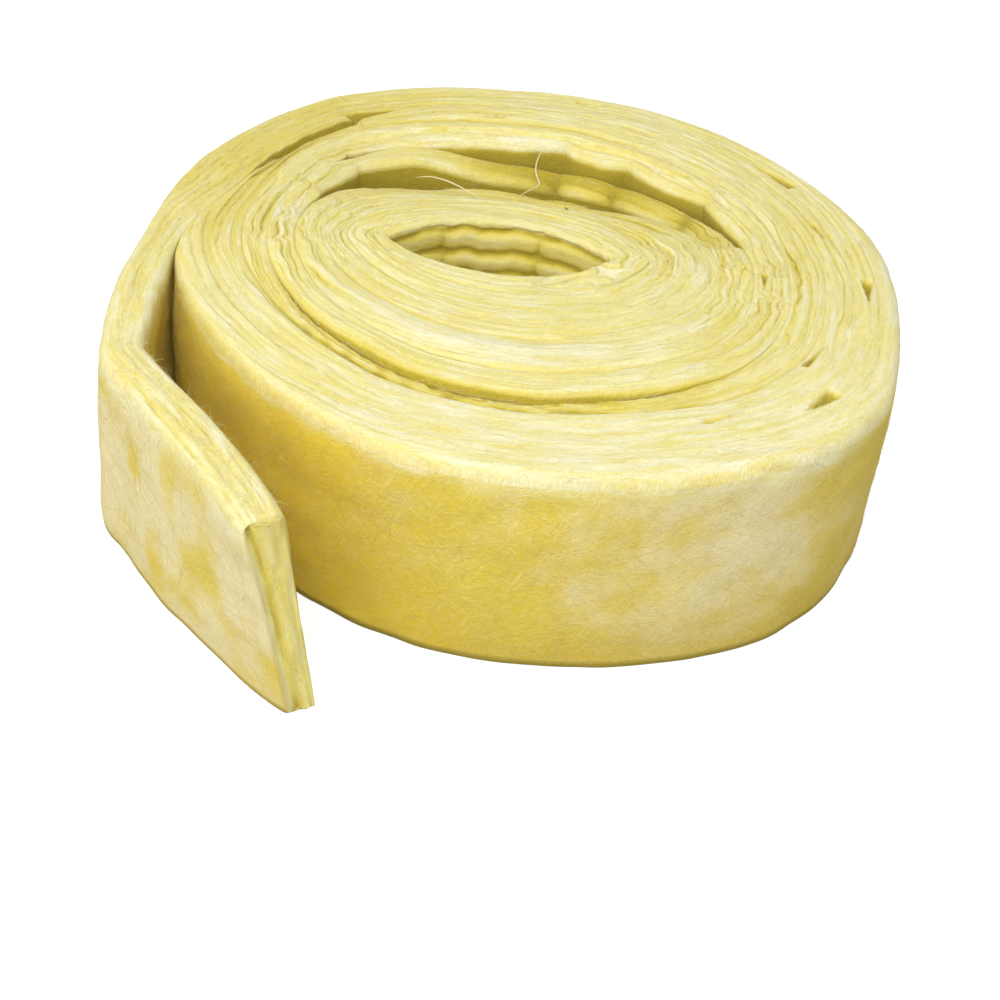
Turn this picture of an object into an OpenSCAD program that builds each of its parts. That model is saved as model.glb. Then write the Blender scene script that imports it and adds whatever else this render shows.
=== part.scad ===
// Roll of glass-wool pipe wrap: one long strip wound on itself, lying on its end.
// Its turns run counterclockwise from a lens-shaped eye to a loose outer turn with a free tail.

/* [Strip] */
// Width of the strip, which is the height of the roll
strip_width = 76; // [50:1:120]
// Thickness of the strip where its last turn still lies on the roll
loose_thick = 23; // [18:1:30]
// Thickness of the strip's free tail
end_thick = 15; // [8:1:20]

/* [Wound roll] */
// Size of the wound roll from left to right
roll_x = 266; // [220:1:400]
// Size of the wound roll from front to back
roll_y = 290; // [220:1:400]
// How far the roll's outline bulges at its front right
right_bulge = 7.5; // [0:0.5:10]
// How far the roll's outline falls short at its front left
left_flat = 5; // [0:0.5:8]
// Number of turns between the eye and the outside
turns = 8; // [5:1:11]

/* [Seams between the turns] */
// Width of a seam between two turns, at the roll's ends
seam_width = 2; // [0.8:0.1:3]
// Depth of a seam
seam_depth = 5; // [3:0.5:12]

/* [Eye] */
// Length of the lens-shaped eye, from tip to tip
eye_length = 83; // [40:1:110]
// Width of the eye, across its middle
eye_width = 42; // [16:1:60]
// Distance of the eye's middle from the roll's middle, to the right
eye_x = -14; // [-20:1:20]
// Distance of the eye's middle from the roll's middle, to the back
eye_y = 1; // [-20:1:20]

/* [Slack behind the eye] */
// Number of turns that lie tight round the eye
tight_turns = 3; // [1:1:3]
// Width of the gap between the tight turns and the turn that hangs behind them
inner_gap = 11; // [4:0.5:18]
// Width of the gap behind the hanging turn
outer_gap = 5; // [2:0.5:8]
// Drop of the hanging turn below the roll's top
hanging_drop = 4; // [0:0.5:10]
// Drop of the tight turns at the back, where they have slid down
tight_drop = 8; // [0:0.5:14]

/* [Loose turn and tail] */
// Direction, from the roll's middle, in which the last turn comes free of the seams
loose_from = 131; // [110:1:150]
// How far the last turn stands off the roll's outline where it comes free
lift = 8; // [0:0.5:10]
// Direction in which the loose turn starts to spring away
spring_from = 173; // [160:1:180]
// How fast the loose turn springs away, in millimetres for each radian squared
spring_rate = 52; // [30:1:70]
// Direction in which the loose turn becomes the tail
tail_from = 212; // [205:1:216]
// Radius of the bend at the start of the tail
bend_radius = 30; // [20:1:60]
// Angle of the bend at the start of the tail
bend_angle = 28; // [10:1:36]
// Length of the straight tail
tail_length = 98; // [30:1:110]
// How far the foot of the tail's free end is drawn in towards the roll
foot_draw = 15; // [0:0.5:18]

/* [Edges] */
// Size of the soft edge round the roll's ends
soft_edge = 3; // [1:0.5:4]

/* [Hidden] */
step = 7.5;                 // angle between two points of a turn
over = 1;                   // how far a cut runs past a face
join = 0.01;                // how far outlines grow to join
slack_from = 15;            // directions between which the slack lies
slack_to = 157.5;
slack_mid = (slack_from + slack_to) / 2;
slack_power = 0.6;          // below 1, the gaps end bluntly
// Where turns lie out from their even place: degrees of winding, shift, and the angle over which it fades
shifts = [[1350, 5.5, 100], [1710, 4, 100], [2070, -3, 100], [2291, -3, 60]];
thin_from = 165;            // directions between which the loose turn thins to the tail
thin_to = 187;
loose_points = 14;          // stretches of the loose turn
bend_points = 5;            // stretches of the bend
tail_points = 6;            // stretches of the straight tail
bend_draw = 0.2;            // part of foot_draw that is reached in the bend
inner_draw = 0.7;           // part of foot_draw by which the inner face is drawn in
mitre_least = 0.15;         // keeps a mitre short where the outline turns back

// Blending
function mix(a, b, t) = a + (b - a) * t;
function hump(value, middle, reach) = pow(cos(90 * min(1, abs(value - middle) / reach)), 2);
function ease(t) = let (s = max(0, min(1, t))) s * s * (3 - 2 * s);
function flip(list) = [for (i = [len(list) - 1 : -1 : 0]) list[i]];
function rad(a) = a * PI / 180;

// Eye: two equal arcs that meet at its tips
eye_arc = (pow(eye_length, 2) + pow(eye_width, 2)) / (4 * eye_width);
function eye_half(x) = sqrt(max(0, pow(eye_arc, 2) - x * x)) - eye_arc + eye_width / 2;
function eye_point(a) =
    let (x = eye_length / 2 * cos(a))
    [eye_x + x, eye_y + sign(sin(a)) * max(0, eye_half(x))];

// Outside of the wound roll: an ellipse with a bulge, a flat and a lift under the loose turn
function ellipse_point(a) = [roll_x / 2 * cos(a), roll_y / 2 * sin(a)];
function moved_out(a, out) = let (p = ellipse_point(a)) p * (1 + out / norm(p));
function outline_shift(a) =
    right_bulge * hump(a, 323, 36) - left_flat * hump(a, 225, 55) + lift * hump(a, 133, 40);
function rim_point(a) = moved_out(a, outline_shift(a % 360));
function direction(p) = (atan2(p[1] / roll_y, p[0] / roll_x) + 360) % 360;

// A share of 0 is the eye's wall and a share of 1 is the outside
function build(a) = norm(rim_point(a) - eye_point(a));
function at_share(a, share) = mix(eye_point(a), rim_point(a), share);
function turn_share(t) =
    t / 360 / turns + [for (s = shifts) s[1] * hump(t, s[0], s[2])] * [for (s = shifts) 1 / build(t % 360)];

// The slack opens behind the eye and closes towards both of its ends
function slack(a) = a > slack_from && a < slack_to
    ? pow(sin(180 * (a - slack_from) / (slack_to - slack_from)), slack_power) : 0;
function crowd(t, a) =
    let (first = turn_share(360 * (tight_turns + 1) + slack_mid))
    slack(a) * (inner_gap + outer_gap) / build(slack_mid) * 0.5
    * (1 - turn_share(t)) / (1 - first);
function hang(a) = slack(a) * inner_gap / build(slack_mid);

// Place of the strip's inner face after t degrees of winding
function wound_share(t) =
    let (a = t % 360)
    t < 360 * tight_turns ? turn_share(t)
    : t < 360 * (tight_turns + 1) ? turn_share(t) + hang(a)
    : turn_share(t) + crowd(t, a);
function wound_point(t, side = 0) =
    at_share(t % 360, wound_share(t) + side / build(t % 360));
first_seam = 16 * step;
last_wound = 360 * (turns - 2) + loose_from;

// Four lines that bound the two gaps in the slack, as shares
slack_angles = [for (a = [slack_from : step : slack_to]) a];
tight_edge = [for (a = slack_angles) turn_share(360 * tight_turns + a)];
hanging_inner = [for (a = slack_angles) turn_share(360 * tight_turns + a) + hang(a)];
pressed_edge = [for (a = slack_angles) wound_share(360 * (tight_turns + 1) + a)];
hanging_outer = [for (i = [0 : len(slack_angles) - 1])
    pressed_edge[i] - slack(slack_angles[i]) * outer_gap / build(slack_angles[i])];

// Outer face of the loose turn and the tail: place, direction of travel, thickness and draw of the foot
function sprung(a) = moved_out(a, lift + spring_rate * pow(rad(max(0, a - spring_from)), 2));
function heading(a) = let (d = sprung(a + 0.5) - sprung(a - 0.5)) atan2(d[1], d[0]);
function thickness(a) = mix(loose_thick, end_thick, ease((a - thin_from) / (thin_to - thin_from)));
bend_start = sprung(tail_from);
bend_heading = heading(tail_from);
bend_middle = bend_start + bend_radius * [cos(bend_heading + 90), sin(bend_heading + 90)];
function bend_point(turn) =
    bend_middle + bend_radius * [cos(bend_heading + turn - 90), sin(bend_heading + turn - 90)];
tail_heading = bend_heading + bend_angle;
function tail_point(part) =
    bend_point(bend_angle) + part * tail_length * [cos(tail_heading), sin(tail_heading)];
outer_path = concat(
    [for (i = [0 : loose_points]) let (a = mix(loose_from, tail_from, i / loose_points))
        [sprung(a), heading(a), thickness(a), 0]],
    [for (i = [1 : bend_points]) let (part = i / bend_points)
        [bend_point(bend_angle * part), bend_heading + bend_angle * part, end_thick, bend_draw * part]],
    [for (i = [1 : tail_points]) let (part = i / tail_points)
        [tail_point(part), tail_heading, end_thick, mix(bend_draw, 1, pow(part, 3))]]);
path_last = len(outer_path) - 1;
function inward(i) = [cos(outer_path[i][1] + 90), sin(outer_path[i][1] + 90)];
function inner_face(i, gap = 0) = outer_path[i][0] + (outer_path[i][2] + gap) * inward(i);
function foot(i, part) = outer_path[i][3] * foot_draw * part * inward(i);

// The loose turn parts from the roll where its inner face crosses the roll's outline
function clear(i) = let (p = inner_face(i)) norm(p) - norm(rim_point(direction(p)));
parted = min([for (i = [1 : path_last]) if (clear(i) > 0) i]);
parting = mix(inner_face(parted - 1), inner_face(parted),
    clear(parted - 1) / (clear(parted - 1) - clear(parted)));
first_rim = ceil(direction(parting) / step + 0.3) * step;

// Closed outline, counterclockwise: each point with the draw of its foot
wound_rim = [for (a = [first_rim : step : 360 + loose_from - step / 2]) [rim_point(a), [0, 0]]];
outline = concat(
    [[parting, [0, 0]]],
    wound_rim,
    [for (i = [0 : path_last]) [outer_path[i][0], foot(i, 1)]],
    [for (i = [path_last : -1 : parted]) [inner_face(i), foot(i, inner_draw)]]);
count = len(outline);

// Triangles that cover the outline: a fan round the roll's middle, then a strip along the tail
middle = count;             // stands for the middle in a triangle
fork = len(wound_rim) + parted;
cover = concat(
    [for (i = [0 : fork - 1]) [middle, i, i + 1]],
    [[middle, fork, 0], [0, fork, fork + 1], [0, fork + 1, count - 1]],
    [for (i = [1 : path_last - parted])
        let (a = fork + i, b = count - i)
        each [[a, a + 1, b - 1], [a, b - 1, b]]]);
function along(i) =
    let (d = outline[(i + 1) % count][0] - outline[i % count][0]) d / norm(d);
function left_of(d) = [-d[1], d[0]];
function mitre(i) =
    let (before = left_of(along(i + count - 1)), after = left_of(along(i)))
    (before + after) / max(mitre_least, 1 + before * after);

// Levels of the soft-edged stock: height and how far the outline is drawn in
bevel = 1 - cos(45);
levels = [[0, 1], [bevel, bevel], [1, 0]];
heights = concat(
    [for (l = levels) [l[0] * soft_edge, l[1] * soft_edge]],
    [for (l = flip(levels)) [strip_width - l[0] * soft_edge, l[1] * soft_edge]]);

// The roll is centred on its box
reach = concat(
    [for (a = [0 : 3 : 357]) rim_point(a)],
    [for (p = outline) p[0] + p[1] * soft_edge / strip_width],
    [for (p = outline) p[0] + p[1] * (1 - soft_edge / strip_width)]);
x_middle = (min([for (p = reach) p[0]]) + max([for (p = reach) p[0]])) / 2;
y_middle = (min([for (p = reach) p[1]]) + max([for (p = reach) p[1]])) / 2;

// Outlines that overlap, joined into one
module merged() {
    offset(delta = join) children();
}

// The whole roll with its tail as one soft-edged solid, before anything is cut
module stock() {
    top = len(heights) - 1;
    middles = len(heights) * count;
    polyhedron(
        concat(
            [for (h = heights) for (i = [0 : count - 1])
                let (p = outline[i][0] + outline[i][1] * (1 - h[0] / strip_width) + mitre(i) * h[1])
                [p[0], p[1], h[0]]],
            [[0, 0, 0], [0, 0, strip_width]]),
        concat(
            [for (t = cover) [for (i = t) i == middle ? middles : i]],
            [for (t = cover) flip([for (i = t) i == middle ? middles + 1 : top * count + i])],
            [for (k = [0 : top - 1]) for (i = [0 : count - 1])
                let (a = k * count + i, b = k * count + (i + 1) % count)
                each [[a, a + count, b + count], [a, b + count, b]]]));
}

module eye() {
    polygon([for (a = [0 : step : 360 - step]) eye_point(a)]);
}

// Plan region between two lines of shares, over the directions of the slack
module slack_band(inner, outer) {
    polygon(concat(
        [for (i = [0 : len(slack_angles) - 1]) at_share(slack_angles[i], inner[i])],
        flip([for (i = [0 : len(slack_angles) - 1]) at_share(slack_angles[i], outer[i])])));
}

// Plan of the tight turns, out to the middle of the gap or seam round them
module tight_plan() {
    polygon([for (a = [0 : step : 360 - step])
        at_share(a, turn_share(360 * tight_turns + a) + hang(a) / 2)]);
}

// Plan of the hanging turn, out to the middles of the gaps on both of its sides
module hanging_plan() {
    inner = [for (i = [0 : len(slack_angles) - 1]) (tight_edge[i] + hanging_inner[i]) / 2];
    outer = [for (i = [0 : len(slack_angles) - 1]) (hanging_outer[i] + pressed_edge[i]) / 2];
    slack_band(inner, outer);
}

// Stretch of the seam along the spiral
module seam(from, to) {
    half = seam_width / 2;
    angles = concat([for (t = [from : step : to - step / 4]) t], [to]);
    polygon(concat(
        [for (t = angles) wound_point(t, half)],
        flip([for (t = angles) wound_point(t, -half)])));
}

// Seams of the tight turns round the eye
module tight_seams() {
    seam(first_seam, 360 * tight_turns + slack_from + 2 * step);
}

// Seams of the pressed turns; a gap takes the place of the seam in the slack
module pressed_seams() {
    seam(360 * tight_turns + slack_to - step, 360 * (tight_turns + 1) + slack_from + step);
    seam(360 * (tight_turns + 1) + slack_to - step, last_wound);
}

// Seam along the inner face of the loose turn, until it lies free
module loose_seam() {
    half = seam_width / 2;
    polygon(concat(
        [wound_point(last_wound, half)],
        [for (i = [0 : parted - 1]) inner_face(i, -half)],
        [parting],
        flip([for (i = [0 : parted - 1]) inner_face(i, half)]),
        [wound_point(last_wound, -half)]));
}

// Space above the roll's top and above a plane that falls back from it by drop, both lowered by deeper
module slid_space(y_start, y_end, drop, deeper = 0) {
    translate([-roll_x, y_start, strip_width - deeper]) {
        translate([0, -roll_y, 0]) cube([2 * roll_x, 2 * roll_y, strip_width]);
        rotate([-atan2(drop, y_end - y_start), 0, 0])
            translate([0, -roll_y, 0]) cube([2 * roll_x, 2 * roll_y, strip_width]);
    }
}

module above_tight_turns(deeper = 0) {
    slid_space(eye_y - eye_width / 2, roll_y / 4, tight_drop, deeper);
}

module above_hanging_turn() {
    slid_space(roll_y / 10, roll_y / 4, hanging_drop);
}

// Seams of both ends, as deep where the tight turns have slid down
module all_seams() {
    for (z = [-over, strip_width - seam_depth])
        translate([0, 0, z]) linear_extrude(seam_depth + over) merged() {
            pressed_seams();
            loose_seam();
        }
    translate([0, 0, -over]) linear_extrude(seam_depth + over) merged() tight_seams();
    intersection() {
        above_tight_turns(seam_depth);
        translate([0, 0, strip_width / 2]) linear_extrude(strip_width) merged() tight_seams();
    }
}

module wool_roll() {
    color("khaki")
    translate([-x_middle, -y_middle, 0])
    difference() {
        stock();
        translate([0, 0, -over]) linear_extrude(strip_width + 2 * over) merged() {
            eye();
            slack_band(tight_edge, hanging_inner);
            slack_band(hanging_outer, pressed_edge);
        }
        all_seams();
        intersection() {
            above_tight_turns();
            translate([0, 0, strip_width / 2]) linear_extrude(strip_width) tight_plan();
        }
        intersection() {
            above_hanging_turn();
            translate([0, 0, strip_width / 2]) linear_extrude(strip_width) hanging_plan();
        }
    }
}

wool_roll();
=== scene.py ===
"""Looks of a loose roll of glass-wool pipe wrap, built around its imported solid.

The roll is one strip of wool wound on itself. Its mesh is swept along the winding in a few lengths, with
soft edges, layers, folds and scallops, and loose fibres are laid over it.
"""

import logging
import math
from dataclasses import dataclass, field
from enum import Enum

import bmesh
import bpy
import numpy as np
from mathutils import Matrix, Vector

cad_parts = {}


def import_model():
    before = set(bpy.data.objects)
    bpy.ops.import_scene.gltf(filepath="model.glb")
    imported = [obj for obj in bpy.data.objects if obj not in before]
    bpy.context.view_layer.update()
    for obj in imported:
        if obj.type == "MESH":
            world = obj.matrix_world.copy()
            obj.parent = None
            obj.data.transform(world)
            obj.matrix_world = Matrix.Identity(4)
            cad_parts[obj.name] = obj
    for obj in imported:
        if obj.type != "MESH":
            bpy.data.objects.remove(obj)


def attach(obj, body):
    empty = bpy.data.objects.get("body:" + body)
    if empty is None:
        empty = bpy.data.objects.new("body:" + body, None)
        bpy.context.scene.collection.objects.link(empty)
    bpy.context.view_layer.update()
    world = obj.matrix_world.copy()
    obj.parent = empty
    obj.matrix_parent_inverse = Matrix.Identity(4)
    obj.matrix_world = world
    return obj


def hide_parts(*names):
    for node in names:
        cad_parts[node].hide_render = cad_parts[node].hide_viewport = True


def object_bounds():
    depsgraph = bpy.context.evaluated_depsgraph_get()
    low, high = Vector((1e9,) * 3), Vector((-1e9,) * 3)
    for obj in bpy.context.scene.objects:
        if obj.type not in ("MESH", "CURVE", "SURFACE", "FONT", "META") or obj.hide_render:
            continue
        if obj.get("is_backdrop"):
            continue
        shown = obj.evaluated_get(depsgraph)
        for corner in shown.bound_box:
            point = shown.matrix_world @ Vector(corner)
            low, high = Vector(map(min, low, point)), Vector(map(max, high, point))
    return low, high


log = logging.getLogger("wool_roll")

MM = 0.001
TURN = 360.0

# whole-number hash: how many values a word holds, and the odd factors that scatter them
WORD = 2**32
AXIS_FACTORS = (73856093, 19349663, 83492791)
SEED_FACTOR = 374761393
MIX_FACTOR = 2654435761

# loose threads and a fleck across the gap behind the eye, from the roll's middle, in millimetres
THREADS = (
    ((-1, 94, 74), (-4, 87, 71), (-4, 80, 68), (-1, 70, 68), (-5, 61, 70), (-10, 55, 69)),
    ((-52, 62, 69), (-45, 61, 71), (-37, 58, 71), (-29, 53, 70), (-23, 48, 69.5)),
)
FLECK = ((9, 51, 69), (11, 47, 69.2))

Pair = tuple[float, float]
Colour = tuple[float, float, float, float]
Socket = bpy.types.NodeSocket


def placed(name: str, data: bpy.types.ID) -> bpy.types.Object:
    """Puts some data in the scene.

    Args:
        name: The new object's name.
        data: Its mesh, camera or lamp.

    Returns:
        The object.
    """
    thing = bpy.data.objects.new(name, data)
    bpy.context.scene.collection.objects.link(thing)
    return thing


# ---------------------------------------------------------------- noise and curves


def hashed(cells: np.ndarray, seed: int) -> np.ndarray:
    """A random number from 0 to 1 for each lattice cell.

    Args:
        cells: Whole-number cell coordinates, one row for each axis.
        seed: Which of the random fields to read.

    Returns:
        One number for each cell.
    """
    mask = np.uint64(WORD - 1)
    mixed = np.full(cells.shape[1:], seed * SEED_FACTOR % WORD, dtype=np.uint64)
    for axis, factor in zip(cells, AXIS_FACTORS):
        mixed = (mixed ^ (axis.astype(np.int64).astype(np.uint64) * np.uint64(factor))) & mask
        mixed = (mixed * np.uint64(MIX_FACTOR)) & mask
        mixed ^= mixed >> np.uint64(15)
    return mixed.astype(np.float64) / (WORD - 1)


def noise(*axes: np.ndarray, seed: int = 0) -> np.ndarray:
    """Smooth value noise from -1 to 1.

    Args:
        axes: Two or three coordinate arrays of one shape, in cells.
        seed: Which of the random fields to read.

    Returns:
        The noise at each point.
    """
    points = np.stack(np.broadcast_arrays(*axes)).astype(np.float64)
    low = np.floor(points)
    part = points - low
    ease = part * part * part * (part * (part * 6 - 15) + 10)
    total = np.zeros(points.shape[1:])
    for corner in range(2 ** len(axes)):
        step = np.array([corner >> k & 1 for k in range(len(axes))], dtype=np.float64)
        step = step.reshape((-1,) + (1,) * (points.ndim - 1))
        weight = np.prod(np.where(step > 0, ease, 1 - ease), axis=0)
        total += weight * hashed(low + step, seed)
    return total * 2 - 1


def octaves(*axes: np.ndarray, seed: int = 0, count: int = 3) -> np.ndarray:
    """Noise summed over octaves, each half as strong and twice as fine.

    Args:
        axes: Coordinate arrays, in cells of the first octave.
        seed: Which of the random fields to read.
        count: Number of octaves.

    Returns:
        The sum, within about -1 to 1.
    """
    finer = ([axis * 2.0**k for axis in axes] for k in range(count))
    total = sum(noise(*cells, seed=seed + 17 * k) / 2**k for k, cells in enumerate(finer))
    return total / (2 - 2.0 ** (1 - count))


def blend(value: np.ndarray, low: float, high: float) -> np.ndarray:
    """A smooth step.

    Args:
        value: Where to read it.
        low: Where it leaves 0.
        high: Where it reaches 1.

    Returns:
        The step at each value.
    """
    share = np.clip((value - low) / (high - low), 0, 1)
    return share * share * (3 - 2 * share)


def hump(value: np.ndarray, middle: float, reach: float) -> np.ndarray:
    """A smooth hump, 1 at its middle and 0 from its reach outwards."""
    return np.cos(np.pi / 2 * np.clip((value - middle) / reach, -1, 1)) ** 2


def signed(angle: np.ndarray) -> np.ndarray:
    """Directions in degrees, from -180 to 180."""
    return (angle + TURN / 2) % TURN - TURN / 2


def smoothed(line: np.ndarray, reach: int) -> np.ndarray:
    """A line whose points are averaged with their neighbours, with its ends kept.

    Args:
        line: Points, one in each row.
        reach: Half-width of the average, in points.

    Returns:
        The softer line.
    """
    weights = np.hanning(2 * reach + 3)[1:-1]
    weights /= weights.sum()
    padded = np.concatenate([np.repeat(line[:1], reach, 0), line, np.repeat(line[-1:], reach, 0)])
    return np.stack([np.convolve(padded[:, k], weights, mode="valid") for k in range(line.shape[1])], 1)


class Stretch(Enum):
    """Stretches of the roll that differ from the rest: middle and reach, in degrees round the roll."""

    RIGHT = (5, 65)
    BELLY = (15, 38)
    FAN = (28, 62)
    ARCH = (85, 75)
    BACK = (92, 95)
    PRESSED = (100, 48)
    BACK_LEFT = (150, 65)
    LEFT = (178, 62)
    LEFT_FLASH = (178, 26)
    # where shade is painted low on the skin by the tail's foot
    TAIL_FOOT = (222, 48)
    NEAR_TAIL = (225, 58)
    FRONT = (270, 85)
    FRONT_RIGHT = (300, 30)
    FOOT = (305, 38)

    def at(self, angle: np.ndarray) -> np.ndarray:
        """How far each direction lies in the stretch, from 0 to 1."""
        return hump(angle, *self.value)


class Band(Enum):
    """Stretches of single turns that differ from the rest: turn, and middle and reach in degrees."""

    PALE = (2, 266, 80)
    CROWN = (2, 262, 85)
    MIDDLE = (3.5, 0, 330)
    WIDE_SEAM = (4, 250, 95)
    DIP = (4, 262, 85)
    ROUGH = (4, 264, 90)
    TORN = (4, 264, 92)
    NEXT_SEAM = (5, 250, 85)
    PALE_OUTER = (5, 282, 75)

    def at(self, turned: np.ndarray) -> np.ndarray:
        """How far each number of degrees of winding lies in the band, from 0 to 1."""
        turn, middle, reach = self.value
        return hump(turned, TURN * turn + middle, reach)


# ---------------------------------------------------------------- the winding


@dataclass
class Winding:
    """Plan of the wound strip, from its start in the eye to the end of its tail, in metres.

    The lines of the two faces are worked out at many stations along the strip.
    """

    width: float = 76 * MM
    rim_x: float = 266 * MM
    rim_y: float = 290 * MM
    turns: int = 8
    eye_length: float = 83 * MM
    eye_width: float = 42 * MM
    eye_centre: Pair = (-14 * MM, 1 * MM)
    tight_turns: int = 3
    inner_gap: float = 11 * MM
    outer_gap: float = 5 * MM
    slack_from: float = 15.0
    slack_to: float = 157.5
    slack_power: float = 0.6
    loose_thick: float = 23 * MM
    end_thick: float = 15 * MM
    thinning: Pair = (165.0, 187.0)
    loose_from: float = 131.0
    lift: float = 8 * MM
    spring_from: float = 173.0
    spring_rate: float = 52 * MM
    tail_from: float = 212.0
    bend_radius: float = 30 * MM
    bend_angle: float = 28.0
    tail_length: float = 98 * MM
    tail_swell: float = 2.2 * MM
    foot_draw: float = 15 * MM
    bend_draw: float = 0.2
    start: float = -345.0
    station: float = 0.5
    bend_steps: int = 20
    tail_steps: int = 120
    smoothing: int = 7
    crowding: float = 0.5
    held: float = 0.85
    held_from: Pair = (98.0, 124.0)
    swell_share: float = 0.45
    eye_closes: Pair = (300.0, 420.0)
    bare_from: Pair = (54.0, 66.0)
    own_from: Pair = (50.0, 64.0)
    # direction or degrees of winding, shift outwards, and the angle over which it fades
    bulges: tuple[tuple[float, float, float], ...] = (
        (323, 7.5 * MM, 36), (225, -5 * MM, 55), (133, 8 * MM, 40),
    )
    shifts: tuple[tuple[float, float, float], ...] = (
        (1350, 5.5 * MM, 100), (1710, 4 * MM, 100), (2070, -3 * MM, 100), (2291, -3 * MM, 60),
    )
    lines: dict[str, np.ndarray] = field(default_factory=dict)

    @property
    def last(self) -> float:
        """Degrees of winding at which the strip leaves the roll's rim."""
        return TURN * (self.turns - 2) + self.loose_from

    def eye_point(self, angle: np.ndarray) -> np.ndarray:
        """The lens-shaped wall of the eye.

        Args:
            angle: Directions, in degrees.

        Returns:
            A point in plan for each direction.
        """
        arc = (self.eye_length**2 + self.eye_width**2) / (4 * self.eye_width)
        x = self.eye_length / 2 * np.cos(np.radians(angle))
        half = np.maximum(0, np.sqrt(arc**2 - x**2) - arc + self.eye_width / 2)
        y = np.sign(np.sin(np.radians(angle))) * half
        return np.stack([x + self.eye_centre[0], y + self.eye_centre[1]], -1)

    def moved_out(self, angle: np.ndarray, out: np.ndarray) -> np.ndarray:
        """Points near the roll's plain ellipse.

        Args:
            angle: Their directions, in degrees.
            out: How far outside the ellipse they lie.

        Returns:
            The points in plan.
        """
        turned = np.radians(angle)
        spot = np.stack([self.rim_x / 2 * np.cos(turned), self.rim_y / 2 * np.sin(turned)], -1)
        return spot * (1 + out / np.linalg.norm(spot, axis=-1))[:, None]

    def rim_point(self, angle: np.ndarray) -> np.ndarray:
        """Points on the outside of the wound roll."""
        out = sum(shift * hump(angle, middle, reach) for middle, shift, reach in self.bulges)
        return self.moved_out(angle, out)

    def build(self, angle: np.ndarray) -> np.ndarray:
        """Depth of the winding between the eye and the outside."""
        return np.linalg.norm(self.rim_point(angle) - self.eye_point(angle), axis=-1)

    def at_share(self, angle: np.ndarray, share: np.ndarray) -> np.ndarray:
        """Points at a share of the way from the eye to the outside."""
        eye = self.eye_point(angle)
        return eye + (self.rim_point(angle) - eye) * share[:, None]

    def slack(self, angle: np.ndarray) -> np.ndarray:
        """How far the slack behind the eye is open, from 0 to 1."""
        way = (angle - self.slack_from) / (self.slack_to - self.slack_from)
        return np.where((way > 0) & (way < 1), np.sin(np.pi * np.clip(way, 0, 1)) ** self.slack_power, 0)

    def plain_share(self, turned: np.ndarray) -> np.ndarray:
        """Share at which the strip lies, with some turns shifted but no slack.

        Args:
            turned: Degrees of winding.

        Returns:
            The share of the way from the eye to the outside.
        """
        plain = np.maximum(0, turned / TURN / self.turns)
        for middle, shift, reach in self.shifts:
            plain = plain + shift / self.build(turned % TURN) * hump(turned, middle, reach)
        return plain

    def share(self, turned: np.ndarray) -> np.ndarray:
        """Share at which the strip's inner face lies.

        Args:
            turned: Degrees of winding.

        Returns:
            The share of the way from the eye to the outside.
        """
        angle = turned % TURN
        middle = (self.slack_from + self.slack_to) / 2
        depth = self.build(np.array([middle]))[0]
        plain = self.plain_share(turned)
        first = (self.tight_turns + 1 + middle / TURN) / self.turns
        hang = self.slack(angle) * self.inner_gap / depth
        crowd = self.slack(angle) * (self.inner_gap + self.outer_gap) / depth * self.crowding
        crowd = crowd * (1 - plain) / (1 - first)
        turn = np.floor(turned / TURN) - self.tight_turns
        return plain + np.where(turn == 0, hang, 0) + np.where(turn > 0, crowd, 0)

    def outer_share(self, turned: np.ndarray) -> np.ndarray:
        """Share at which the strip's outer face lies: the next turn's inner face, or the near side of a gap.

        Args:
            turned: Degrees of winding.

        Returns:
            The share of the way from the eye to the outside.
        """
        turn = np.floor(turned / TURN)
        angle = turned % TURN
        after = turned + TURN
        following = np.where(turn == self.tight_turns - 1, self.plain_share(after), self.share(after))
        gap = self.slack(angle) * self.outer_gap / self.build(angle) * self.let_go(angle)
        return following - np.where(turn == self.tight_turns, gap, 0)

    def let_go(self, angle: np.ndarray) -> np.ndarray:
        """How far the hanging turn has come away from the turn outside it, from 0 to 1."""
        return 1 - self.held * blend(angle, *self.held_from)

    def sprung(self, angle: np.ndarray) -> np.ndarray:
        """Outer face of the loose turn, which springs away from the roll."""
        out = self.spring_rate * np.radians(np.maximum(0, angle - self.spring_from)) ** 2
        return self.moved_out(angle, self.lift + out)

    def loose_path(self) -> tuple[np.ndarray, np.ndarray, np.ndarray, np.ndarray]:
        """The strip past the rim: the loose turn, a bend and the straight tail.

        Returns:
            The outer face's points, the inner face's points, the degrees of winding at each, and how far
            the foot is drawn in there, from 0 to 1.
        """
        angle = np.arange(self.loose_from, self.tail_from, self.station)
        path = self.sprung(angle)
        ahead = self.sprung(angle + self.station) - self.sprung(angle - self.station)
        heading = np.degrees(np.arctan2(ahead[:, 1], ahead[:, 0]))
        swing = np.linspace(0, self.bend_angle, self.bend_steps)[1:]
        side = np.radians(heading[-1] + 90)
        centre = path[-1] + self.bend_radius * np.array([math.cos(side), math.sin(side)])
        spoke = np.radians(heading[-1] + swing - 90)
        bend = centre + self.bend_radius * np.stack([np.cos(spoke), np.sin(spoke)], 1)
        away = math.radians(heading[-1] + self.bend_angle)
        way = np.linspace(0, self.tail_length, self.tail_steps)[1:, None]
        tail = bend[-1] + way * np.array([math.cos(away), math.sin(away)])
        outer = np.concatenate([path, bend, tail])
        headings = np.concatenate([heading, heading[-1] + swing, np.full(len(tail), math.degrees(away))])
        turned = np.concatenate([angle, np.full(len(bend) + len(tail), self.tail_from)])
        thick = self.loose_thick + (self.end_thick - self.loose_thick) * blend(turned, *self.thinning)
        swell = blend(way[:, 0] / self.tail_length, 0, self.swell_share)
        thick = thick + self.tail_swell * np.concatenate([0 * angle, 0 * swing, swell])
        inward = np.radians(headings + 90)
        inner = outer + thick[:, None] * np.stack([np.cos(inward), np.sin(inward)], 1)
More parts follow.
